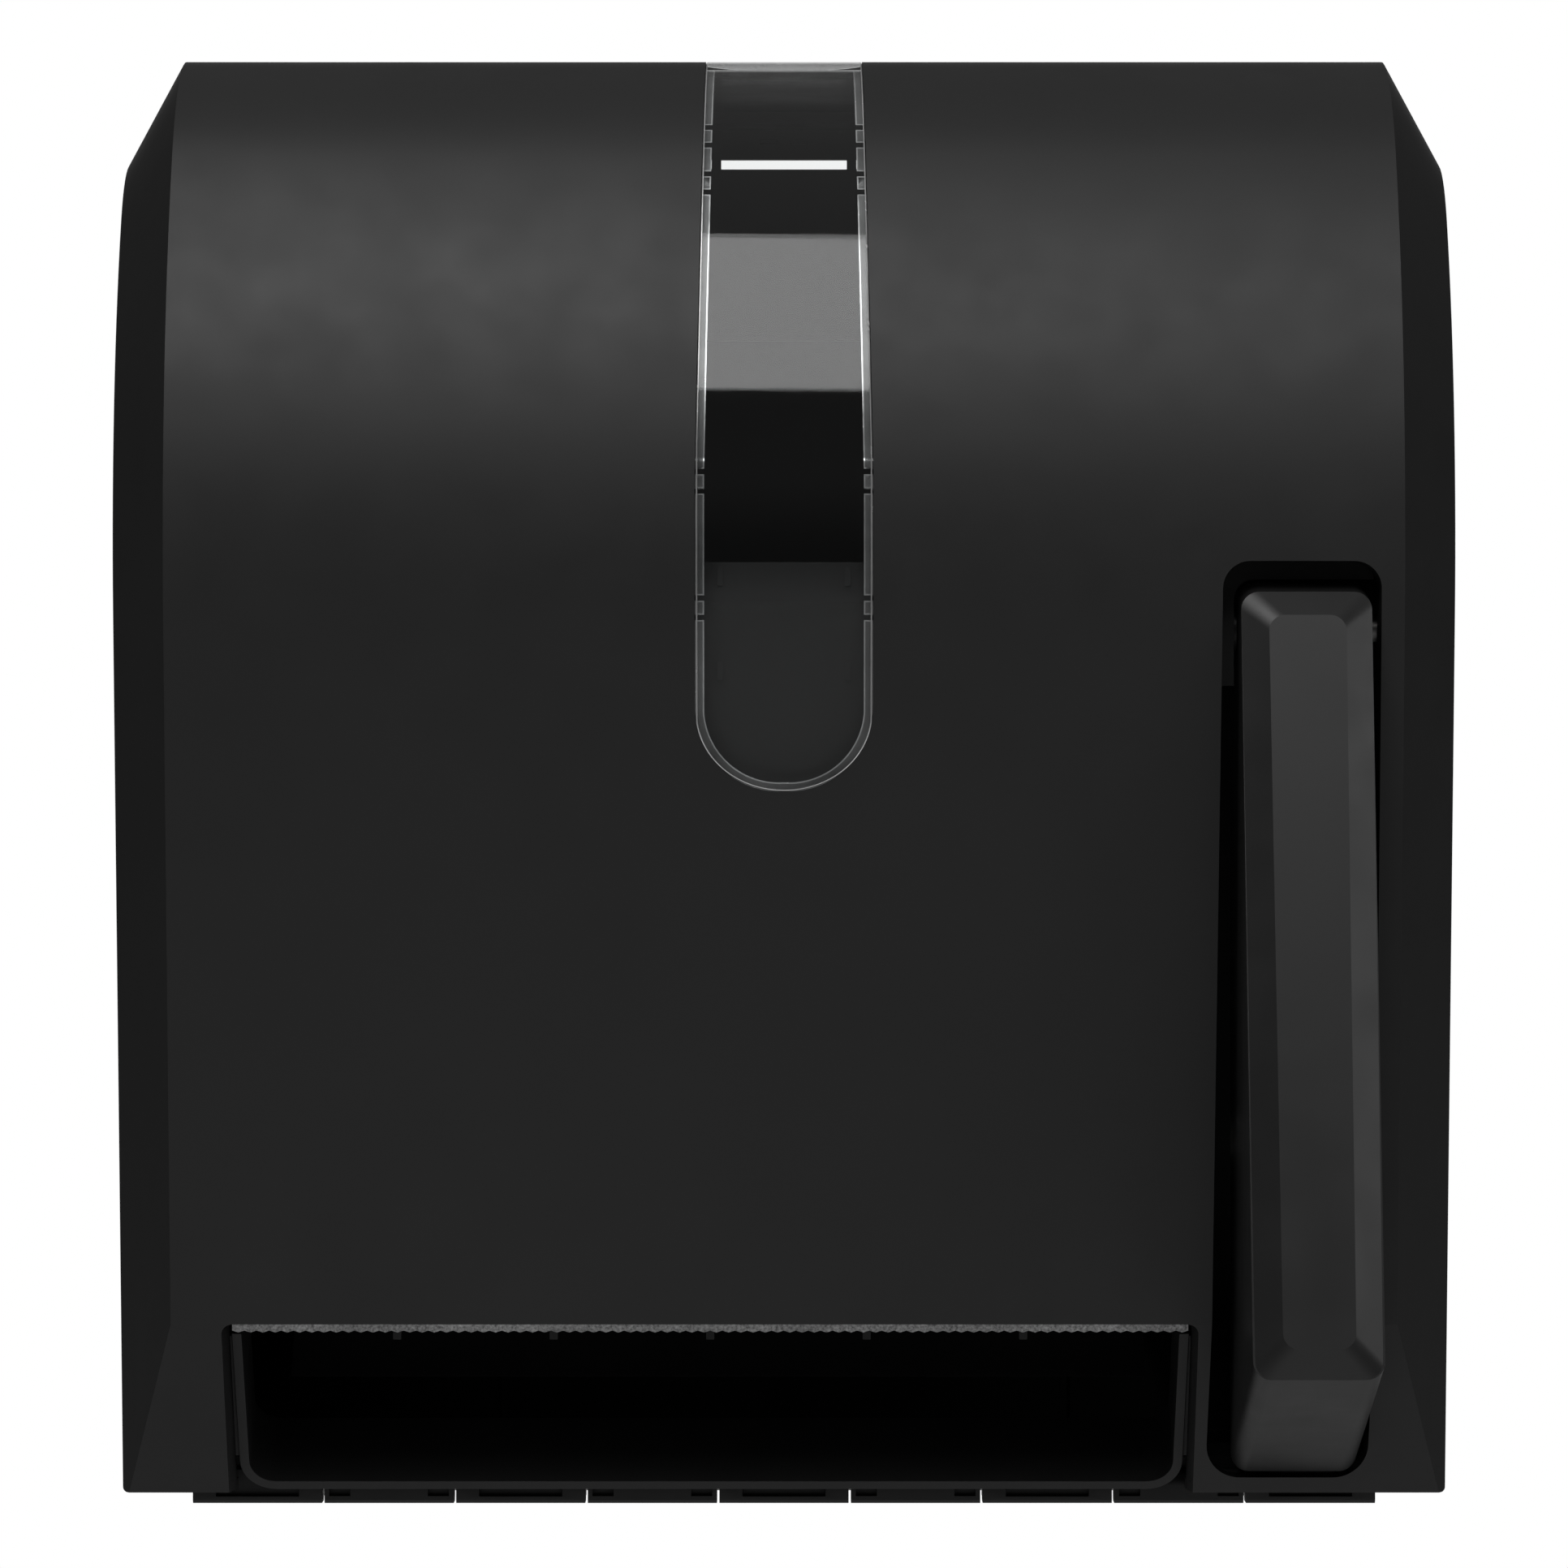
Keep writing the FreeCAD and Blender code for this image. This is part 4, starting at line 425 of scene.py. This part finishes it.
def painted_edge_light(name, metallic, dim, bright, rough):
    """Opaque pale finish for the edges and rim faces of a clear sheet: a painted highlight and a painted
    grey sheen that stand in for the light the sheet pipes along itself and sends out in thin lines.
    """
    n = Nodes(bpy.data.materials.new(name))
    return n.finish(n.add("ShaderNodeBsdfPrincipled", {
        "Metallic": metallic,
        "Base Color": n.mix(n.spread(n.noise(60.0, 3.0), 0.0, 1.0), grey(dim), grey(bright)),
        "Roughness": n.spread(n.noise(300.0, 3.0), rough, rough + 0.14)}))


FINISH = {}


def finishes():
    """Every finish of the dispenser by its slot, made once."""
    if FINISH:
        return FINISH
    look = bpy.context.scene.dispenser_finish
    cover = tuple(look.cover_colour)
    inner = tuple(look.inner_colour)
    kinds = {
        moulded_plastic: (
            ("cover_plastic", cover, 0.49),
            ("lever_plastic", cover, 0.37),
            ("chute_plastic", tint(cover, 0.9), 0.45),
            ("housing_plastic", tint(inner, 0.6), 0.48),
            ("frame_plastic", tint(inner, 1.3), 0.5, 1500.0),
            ("panel_plastic", tint(inner, 1.4), 0.45, 700.0, 0.04),
            ("roller_plastic", (0.03, 0.03, 0.032, 1.0), 0.5),
            ("arm_plastic", (0.022, 0.022, 0.023, 1.0), 0.46),
            ("hub_plastic", (0.05, 0.05, 0.052, 1.0), 0.44),
            ("bush_plastic", (0.66, 0.62, 0.52, 1.0), 0.38, 2400.0, 0.05),
            ("gear_plastic", (0.68, 0.66, 0.60, 1.0), 0.36, 2400.0, 0.05)),
        drawn_steel: (
            ("pin_steel", (0.52, 0.52, 0.51, 1.0), 0.28, 900.0, (0.05, 1.0, 1.0)),
            ("spring_steel", (0.42, 0.43, 0.44, 1.0), 0.32),
            ("tear_steel", grey(0.37), 0.46, 1400.0, (1.0, 1.0, 1.0), 0.35, 1.6),
            ("lock_metal", (0.62, 0.62, 0.63, 1.0), 0.18)),
        rubber: (("grip_rubber", grey(0.018)),),
        thin_clear_plastic: (("window_plastic",),),
        thick_clear_plastic: (("window_rim_plastic",),),
        # Pale finishes painted on the clear window: a painted highlight line on its edges and a painted
        # grey sheen on its rim faces.
        painted_edge_light: (
            ("window_edge", 0.7, 0.62, 0.90, 0.14),
            ("window_band", 0.3, 0.10, 0.22, 0.30)),
    }
    for make, rows in kinds.items():
        for row in rows:
            FINISH[row[0]] = make(*row)
    return FINISH


# ---------------------------------------------------------------- sizes and colours a user may change
class DispenserFinish(bpy.types.PropertyGroup):
    cover_colour: bpy.props.FloatVectorProperty(
        name="Cover colour", description="Colour of the moulded cover and lever", subtype="COLOR", size=4,
        min=0.0, max=1.0, default=(0.0125, 0.0125, 0.0125, 1.0))
    inner_colour: bpy.props.FloatVectorProperty(
        name="Inner colour", description="Colour of the frames, panel and housing", subtype="COLOR", size=4,
        min=0.0, max=1.0, default=(0.011, 0.011, 0.011, 1.0))
    edge_round: bpy.props.FloatProperty(
        name="Edge rounding", description="Rounding of the cover's edges", unit="LENGTH", min=0.0,
        default=0.0004)


class DispenserStudio(bpy.types.PropertyGroup):
    camera_back: bpy.props.FloatProperty(
        name="Camera distance", description="Wall face to the camera", unit="LENGTH", default=2.1)
    lens: bpy.props.FloatProperty(
        name="Lens", description="Focal length of the camera in millimetres", default=179.0)
    key_light: bpy.props.FloatProperty(
        name="Key light", description="Radiance of the large soft box above the camera", default=2.85)
    low_fill: bpy.props.FloatProperty(
        name="Low fill", description="Radiance of the weak light below the camera", default=0.3)
    floor_drop: bpy.props.FloatProperty(
        name="Floor drop", description="Height of the dispenser's middle above the floor", unit="LENGTH",
        default=0.62)


# ---------------------------------------------------------------- cover
class DISPENSER_OT_cover(bpy.types.Operator):
    """Front cover with rounded edges"""

    bl_idname = "dispenser.cover"
    bl_label = "Cover"

    def execute(self, context):
        softened("cover_shell", "cover", "cover", context.scene.dispenser_finish.edge_round)
        return {"FINISHED"}


# ---------------------------------------------------------------- window
def front_sheet(name, half_width, inner, outer):
    """Sheet that follows the cover's form from its flat top down the front, between two depths below it."""
    back = STRIP_HIGH.y + SPARE_BACK
    piece = primitive("plane", name, size=1.0, location=(0.0, 0.0, 0.0))
    with editing(piece):
        bpy.ops.transform.resize(value=(2 * half_width, back - BROW_AXIS.y, 1.0))
        bpy.ops.transform.translate(value=(0.0, (back + BROW_AXIS.y) / 2, COVER_HIGH.z))
        select_points(piece, lambda co: co.y < BROW_AXIS.y + 0.01 * MM)
        for steps, angle, centre in ((BROW_STEPS, JOIN_ANGLE - math.pi / 2, BROW_AXIS),
                                     (BELT_STEPS, -JOIN_ANGLE - FRONT_LEAN, BELT_AXIS)):
            bpy.ops.mesh.spin(steps=steps, angle=angle, center=centre, axis=(1.0, 0.0, 0.0))
        drop = BELT_HEIGHT - BELT_RADIUS * math.sin(FRONT_LEAN) - STRIP_LOW.z + SPARE_FOOT
        extrude(y=drop * math.tan(FRONT_LEAN), z=-drop)
        bpy.ops.mesh.select_all(action="SELECT")
        bpy.ops.mesh.remove_doubles(threshold=TINY)
        bpy.ops.mesh.normals_make_consistent(inside=False)
    if max(piece.data.polygons, key=lambda face: face.center.z).normal.z < 0:
        piece.data.flip_normals()
    with_modifier(piece, "SOLIDIFY", thickness=inner + outer, offset=2 * outer / (inner + outer) - 1,
                  use_even_offset=True)
    return piece


def strip_front():
    """Solid with the strip's outline from the front: round foot, straight sides, narrower top."""
    base = STRIP_LOW.z + STRIP_FOOT_RISE
    ahead = COVER_LOW.y - SPARE_FRONT
    above = COVER_HIGH.z + SPARE_TOP
    slope = (STRIP_TOP_HALF - STRIP_HALF) / (COVER_HIGH.z - STRIP_TAPER_HEIGHT)
    narrow = (STRIP_HALF + slope * (above - STRIP_TAPER_HEIGHT)) / STRIP_HALF
    piece = primitive("circle", "strip_front", vertices=144, radius=STRIP_HALF, fill_type="NOTHING",
                      location=(0.0, ahead, base), rotation=(math.radians(90), 0.0, 0.0))
    with editing(piece):
        bpy.ops.transform.resize(value=(1.0, 1.0, STRIP_FOOT_RISE / STRIP_HALF))
        select_points(piece, lambda co: co.z > base + TINY)
        bpy.ops.mesh.delete(type="VERT")
        select_points(piece, lambda co: co.z > base - TINY)
        extrude(z=STRIP_TAPER_HEIGHT - base)
        extrude(z=above - STRIP_TAPER_HEIGHT)
        bpy.ops.transform.resize(value=(narrow, 1.0, 1.0))
        bpy.ops.mesh.edge_face_add()
        bpy.ops.mesh.select_all(action="SELECT")
        bpy.ops.mesh.edge_face_add()
        extrude(y=STRIP_HIGH.y - ahead + SPARE_REAR)
        bpy.ops.mesh.select_all(action="SELECT")
        bpy.ops.mesh.normals_make_consistent(inside=False)
    return piece


def strip_plan():
    """Solid with the strip's outline from above: its rear end is an arc."""
    radius = (STRIP_TOP_HALF ** 2 + STRIP_END_RISE ** 2) / 2 / STRIP_END_RISE
    middle = STRIP_HIGH.y - radius
    piece = primitive("cylinder", "strip_plan", vertices=200, radius=radius, depth=0.3,
                      location=(0.0, middle, 0.1))
    with editing(piece):
        select_points(piece, lambda co: co.y < middle - TINY)
        bpy.ops.transform.translate(value=(0.0, COVER_LOW.y - middle, 0.0))
    return piece


def below_form(point):
    """How far a point lies under the outer form of the cover's top, brow, belt and front."""
    brow_y, brow_z = BROW_AXIS.y - point.y, point.z - BROW_AXIS.z
    belt_y, belt_z = BELT_AXIS.y - point.y, point.z - BELT_AXIS.z
    if brow_y < 0:
        return COVER_HIGH.z - point.z
    if math.atan2(brow_z, brow_y) > JOIN_ANGLE:
        return BROW_RADIUS - math.hypot(brow_y, brow_z)
    if math.atan2(belt_z, belt_y) > -FRONT_LEAN:
        return BELT_RADIUS - math.hypot(belt_y, belt_z)
    return BELT_RADIUS - belt_y * math.cos(FRONT_LEAN) + belt_z * math.sin(FRONT_LEAN)


def paint_bevel_highlight(strip):
    """Gives the strip's second finish, a painted highlight, to its bevel, from the brow down."""
    for face in strip.data.polygons:
        near = below_form(face.center) < BEVEL_DEPTH and face.center.y < BROW_AXIS.y
        if near and abs(face.normal.x) + max(0.0, -face.normal.z) > BEVEL_TURN:
            face.material_index = 1


def outline_rim(rim):
    """Draws a thin painted highlight line in the rim's second finish round its front faces, and fills them
    with the third, a painted grey sheen.
    """
    with editing(rim, "FACE"):
        bpy.ops.mesh.select_all(action="DESELECT")
        mesh = bmesh.from_edit_mesh(rim.data)
        for face in mesh.faces:
            if below_form(face.calc_center_median()) < RIM_REACH and abs(face.normal.x) < RIM_FLAT:
                face.select_set(True)
        bmesh.update_edit_mesh(rim.data)
        rim.active_material_index = 1
        bpy.ops.object.material_slot_assign()
        bpy.ops.mesh.inset(thickness=RIM_LINE, depth=0.0, use_boundary=True, use_even_offset=True)
        rim.active_material_index = 2
        bpy.ops.object.material_slot_assign()


class DISPENSER_OT_window(bpy.types.Operator):
    """Clear window strip, and its rim walls with their snap hooks"""

    bl_idname = "dispenser.window"
    bl_label = "Window"

    def execute(self, context):
        finish = finishes()
        strip = front_sheet("window_strip", STRIP_HALF + SPARE_SIDE, STRIP_THICKNESS, 0.0)
        boolean(strip, strip_front(), "INTERSECT")
        boolean(strip, strip_plan(), "INTERSECT")
        round_edges(strip, STRIP_ROUND, 3, 50.0)
        smooth(strip, 8.0)
        # The second finish is the painted highlight on the strip's bevel.
        dress(strip, finish["window_plastic"], finish["window_edge"])
        paint_bevel_highlight(strip)
        rim = copy_of("window", "window_rim")
        skin = front_sheet("skin", STRIP_HALF + 2 * SPARE_SIDE, STRIP_THICKNESS + STRIP_STEP, SKIN_OUT)
        boolean(rim, skin, "DIFFERENCE")
        mend(rim)
        smooth(rim, 20.0)
        # The rim's second finish is its painted highlight line, the third its painted grey sheen.
        dress(rim, finish["window_rim_plastic"], finish["window_edge"], finish["window_band"])
        outline_rim(rim)
        place(strip, "cover", "window_plastic", "window")
        place(rim, "cover", "window_plastic")
        return {"FINISHED"}


# ---------------------------------------------------------------- lever, mouth and housing
class DISPENSER_OT_lever(bpy.types.Operator):
    """Push lever"""

    bl_idname = "dispenser.lever"
    bl_label = "Lever"

    def execute(self, context):
        softened("lever_body", "lever_moulding", "lever", LEVER_ROUND, 3)
        return {"FINISHED"}


class DISPENSER_OT_mouth(bpy.types.Operator):
    """Towel scoop, tear strip and inner panel"""

    bl_idname = "dispenser.mouth"
    bl_label = "Towel mouth"

    def execute(self, context):
        softened("exit_chute", "towel_scoop", "cover", SCOOP_ROUND)
        for node in ("tear_bar", "inner_panel", "paper_guide"):
            dress_node(node)
        return {"FINISHED"}


class DISPENSER_OT_housing(bpy.types.Operator):
    """Back housing with its hinge knuckles"""

    bl_idname = "dispenser.housing"
    bl_label = "Back housing"

    def execute(self, context):
        softened("back_housing", "housing", "housing", HOUSING_ROUND)
        return {"FINISHED"}


# ---------------------------------------------------------------- rollers, roll holder and mechanism
def grooved(node, name, axis):
    """A node's round sleeves along X with grooves cut around them."""
    piece = copy_of(node, name)
    radius = (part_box(node)[1].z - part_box(node)[0].z) / 2
    shrink = 1.0 - GROOVE_DEPTH / radius
    ends = sorted({round(vertex.co.x, 5) for vertex in piece.data.vertices})
    with editing(piece):
        for start, end in zip(ends[::2], ends[1::2]):
            count = round((end - start) / GROOVE_PITCH)
            for number in range(1, count):
                at = start + (end - start) * number / count
                for side in (-0.5, 0.0, 0.5):
                    bpy.ops.mesh.select_all(action="SELECT")
                    bpy.ops.mesh.bisect(plane_co=(at + side * GROOVE_WIDTH, 0.0, 0.0),
                                        plane_no=(1.0, 0.0, 0.0))
                select_points(piece, lambda co: abs(co.x - at) < GROOVE_WIDTH / 8
                              and math.hypot(co.y - axis.y, co.z - axis.z) > radius - GROOVE_DEPTH)
                bpy.ops.transform.resize(value=(1.0, shrink, shrink),
                                         center_override=(at, axis.y, axis.z))
    return piece


class DISPENSER_OT_grips(bpy.types.Operator):
    """Grooved rubber sleeves of the two rollers"""

    bl_idname = "dispenser.grips"
    bl_label = "Roller grips"

    def execute(self, context):
        for node, body, axis in (("feed_grips", "feed_roller", FEED_AXIS),
                                 ("pressure_grips", "pressure_roller", PRESS_AXIS)):
            piece = grooved(node, node + "_rubber", axis)
            smooth(piece, 20.0)
            dress(piece, finishes()[SLOTS[node]])
            place(piece, body, SLOTS[node], node)
        return {"FINISHED"}


class DISPENSER_OT_holder(bpy.types.Operator):
    """Frames, brackets, roll arms and hubs with rounded edges"""

    bl_idname = "dispenser.holder"
    bl_label = "Frames and roll holder"

    def execute(self, context):
        for node, body in INNER_MOULDINGS.items():
            softened(node, node + "_moulding", body, INNER_ROUND)
        return {"FINISHED"}


class DISPENSER_OT_mechanism(bpy.types.Operator):
    """Finishes of the shafts, gears, rollers, springs and lock"""

    bl_idname = "dispenser.mechanism"
    bl_label = "Mechanism"

    def execute(self, context):
        for node in SLOTS:
            if not frame["nodes"][node].hide_render:
                dress_node(node)
        return {"FINISHED"}


# ---------------------------------------------------------------- studio
def add_camera(studio):
    data = bpy.data.cameras.new("camera")
    data.lens = studio.lens
    data.sensor_width = 36.0
    data.clip_end = 50.0
    camera = bpy.data.objects.new("camera", data)
    bpy.context.scene.collection.objects.link(camera)
    camera.location = (0.0, -studio.camera_back, 0.0)
    camera.rotation_euler = (math.radians(90.0), 0.0, 0.0)
    bpy.context.scene.camera = camera


def softbox(name, aim, azimuth, elevation, distance, width, height, radiance):
    """Rectangular lamp that is seen from 'aim' at two angles in degrees."""
    az, el = math.radians(azimuth), math.radians(elevation)
    way = Vector((math.sin(az) * math.cos(el), -math.cos(az) * math.cos(el), math.sin(el)))
    data = bpy.data.lights.new(name, "AREA")
    data.shape = "RECTANGLE"
    data.size = width
    data.size_y = height
    data.energy = radiance * math.pi * width * height
    lamp = bpy.data.objects.new(name, data)
    bpy.context.scene.collection.objects.link(lamp)
    lamp.location = aim + way * distance
    lamp.rotation_euler = (-way).to_track_quat("-Z", "Y").to_euler()
    lamp.visible_camera = False


def add_lights(studio):
    """Large soft box above the camera, a small high one left, a tall weak one right, a weaker one low."""
    front = Vector((0.0, -0.17, 0.10))
    lever = Vector((0.12, -0.24, -0.03))
    key = studio.key_light
    # Name, what it is aimed at, azimuth and elevation, distance, width, height and radiance.
    softbox("key_light", front, -8.0, 41.7, 1.2, 1.0, 0.637, key)
    softbox("left_light", lever, -40.0, 59.0, 1.3, 0.28, 0.28, key * 2.1)
    softbox("right_light", lever, 63.0, 19.0, 1.4, 0.60, 0.75, key * 0.62)
    softbox("low_fill", front, 0.0, -34.0, 1.0, 1.2, 0.28, studio.low_fill)


def add_floor(studio):
    """Pale round floor below the view; it fades out at its border and has no underside."""
    middle = (0.0, FLOOR_CENTRE, -studio.floor_drop)
    floor = primitive("circle", "floor", vertices=96, radius=FLOOR_RADIUS, fill_type="NGON",
                      location=middle)
    n = Nodes(bpy.data.materials.new("floor"))
    rays = n.add("ShaderNodeLightPath")
    pale = n.add("ShaderNodeBsdfPrincipled", {
        "Base Color": n.mix(n.spread(n.noise(3.0), 0.0, 1.0), grey(0.80), grey(0.84)),
        "Roughness": 0.7,
        "Emission Color": WHITE,
        "Emission Strength": n.calculate("MULTIPLY", rays.outputs["Is Camera Ray"], FLOOR_LIFT)})
    reach = n.add("ShaderNodeVectorMath", {0: n.coords.outputs["Object"], 1: middle}, operation="DISTANCE")
    fade = n.spread(reach.outputs["Value"], 0.0, 1.0, 0.55 * FLOOR_RADIUS, 0.98 * FLOOR_RADIUS)
    hidden = n.calculate("MAXIMUM", fade, n.add("ShaderNodeNewGeometry").outputs["Backfacing"])
    dress(floor, n.finish(n.mix_shaders(hidden, pale, n.add("ShaderNodeBsdfTransparent"))))


def add_world():
    """White behind the dispenser; dim grey for gloss elsewhere, palest overhead and below."""
    world = bpy.data.worlds.new("surroundings")
    bpy.context.scene.world = world
    n = Nodes(world, "ShaderNodeOutputWorld")
    way = n.add("ShaderNodeSeparateXYZ", {0: n.coords.outputs["Generated"]}).outputs
    ramp = n.add("ShaderNodeValToRGB", {"Fac": n.spread(way["Z"], 0.0, 1.0, -1.0, 1.0)})
    stops = ramp.color_ramp.elements
    while len(stops) < len(SURROUND_GREYS):
        stops.new(0.5)
    for stop, (height, value) in zip(stops, SURROUND_GREYS):
        stop.position = height
        stop.color = grey(value)
    dim = n.add("ShaderNodeBackground", {"Color": ramp.outputs["Color"]})
    white = n.add("ShaderNodeBackground", {"Color": WHITE})
    behind = n.spread(way["Y"], 0.0, 1.0, math.cos(math.radians(BACKDROP_FADE)),
                      math.cos(math.radians(BACKDROP_HALF)))
    rays = n.add("ShaderNodeLightPath").outputs
    bounced = n.calculate("MAXIMUM", rays["Is Glossy Ray"], rays["Is Transmission Ray"])
    shown = n.calculate("MAXIMUM", rays["Is Camera Ray"], n.calculate("MULTIPLY", bounced, behind))
    n.finish(n.mix_shaders(shown, dim, white))


class DISPENSER_OT_studio(bpy.types.Operator):
    """Floor, soft lights, pale surroundings and the camera"""

    bl_idname = "dispenser.studio"
    bl_label = "Studio"

    def execute(self, context):
        studio = context.scene.dispenser_studio
        add_camera(studio)
        add_lights(studio)
        add_floor(studio)
        add_world()
        context.scene.view_settings.view_transform = "Standard"
        return {"FINISHED"}


# ---------------------------------------------------------------- panel and registration
class DISPENSER_PT_panel(bpy.types.Panel):
    """Buttons and settings of the dispenser"""

    bl_idname = "DISPENSER_PT_panel"
    bl_label = "Towel dispenser"
    bl_space_type = "VIEW_3D"
    bl_region_type = "UI"
    bl_category = "Dispenser"

    def draw(self, context):
        for operator in OPERATORS:
            self.layout.operator(operator.bl_idname)
        for group in (context.scene.dispenser_finish, context.scene.dispenser_studio):
            for key in group.__annotations__:
                self.layout.prop(group, key)


OPERATORS = (DISPENSER_OT_studio, DISPENSER_OT_cover, DISPENSER_OT_window, DISPENSER_OT_lever,
             DISPENSER_OT_mouth, DISPENSER_OT_housing, DISPENSER_OT_grips, DISPENSER_OT_holder,
             DISPENSER_OT_mechanism)
CLASSES = (DispenserFinish, DispenserStudio) + OPERATORS + (DISPENSER_PT_panel,)


def register():
    for item in CLASSES:
        bpy.utils.register_class(item)
    bpy.types.Scene.dispenser_finish = bpy.props.PointerProperty(type=DispenserFinish)
    bpy.types.Scene.dispenser_studio = bpy.props.PointerProperty(type=DispenserStudio)


def unregister():
    del bpy.types.Scene.dispenser_finish
    del bpy.types.Scene.dispenser_studio
    for item in reversed(CLASSES):
        bpy.utils.unregister_class(item)


def main():
    register()
    bpy.ops.dispenser.studio()
    bpy.ops.dispenser.cover()
    bpy.ops.dispenser.window()
    bpy.ops.dispenser.lever()
    bpy.ops.dispenser.mouth()
    bpy.ops.dispenser.housing()
    bpy.ops.dispenser.grips()
    bpy.ops.dispenser.holder()
    bpy.ops.dispenser.mechanism()


if __name__ == "__main__":
    main()
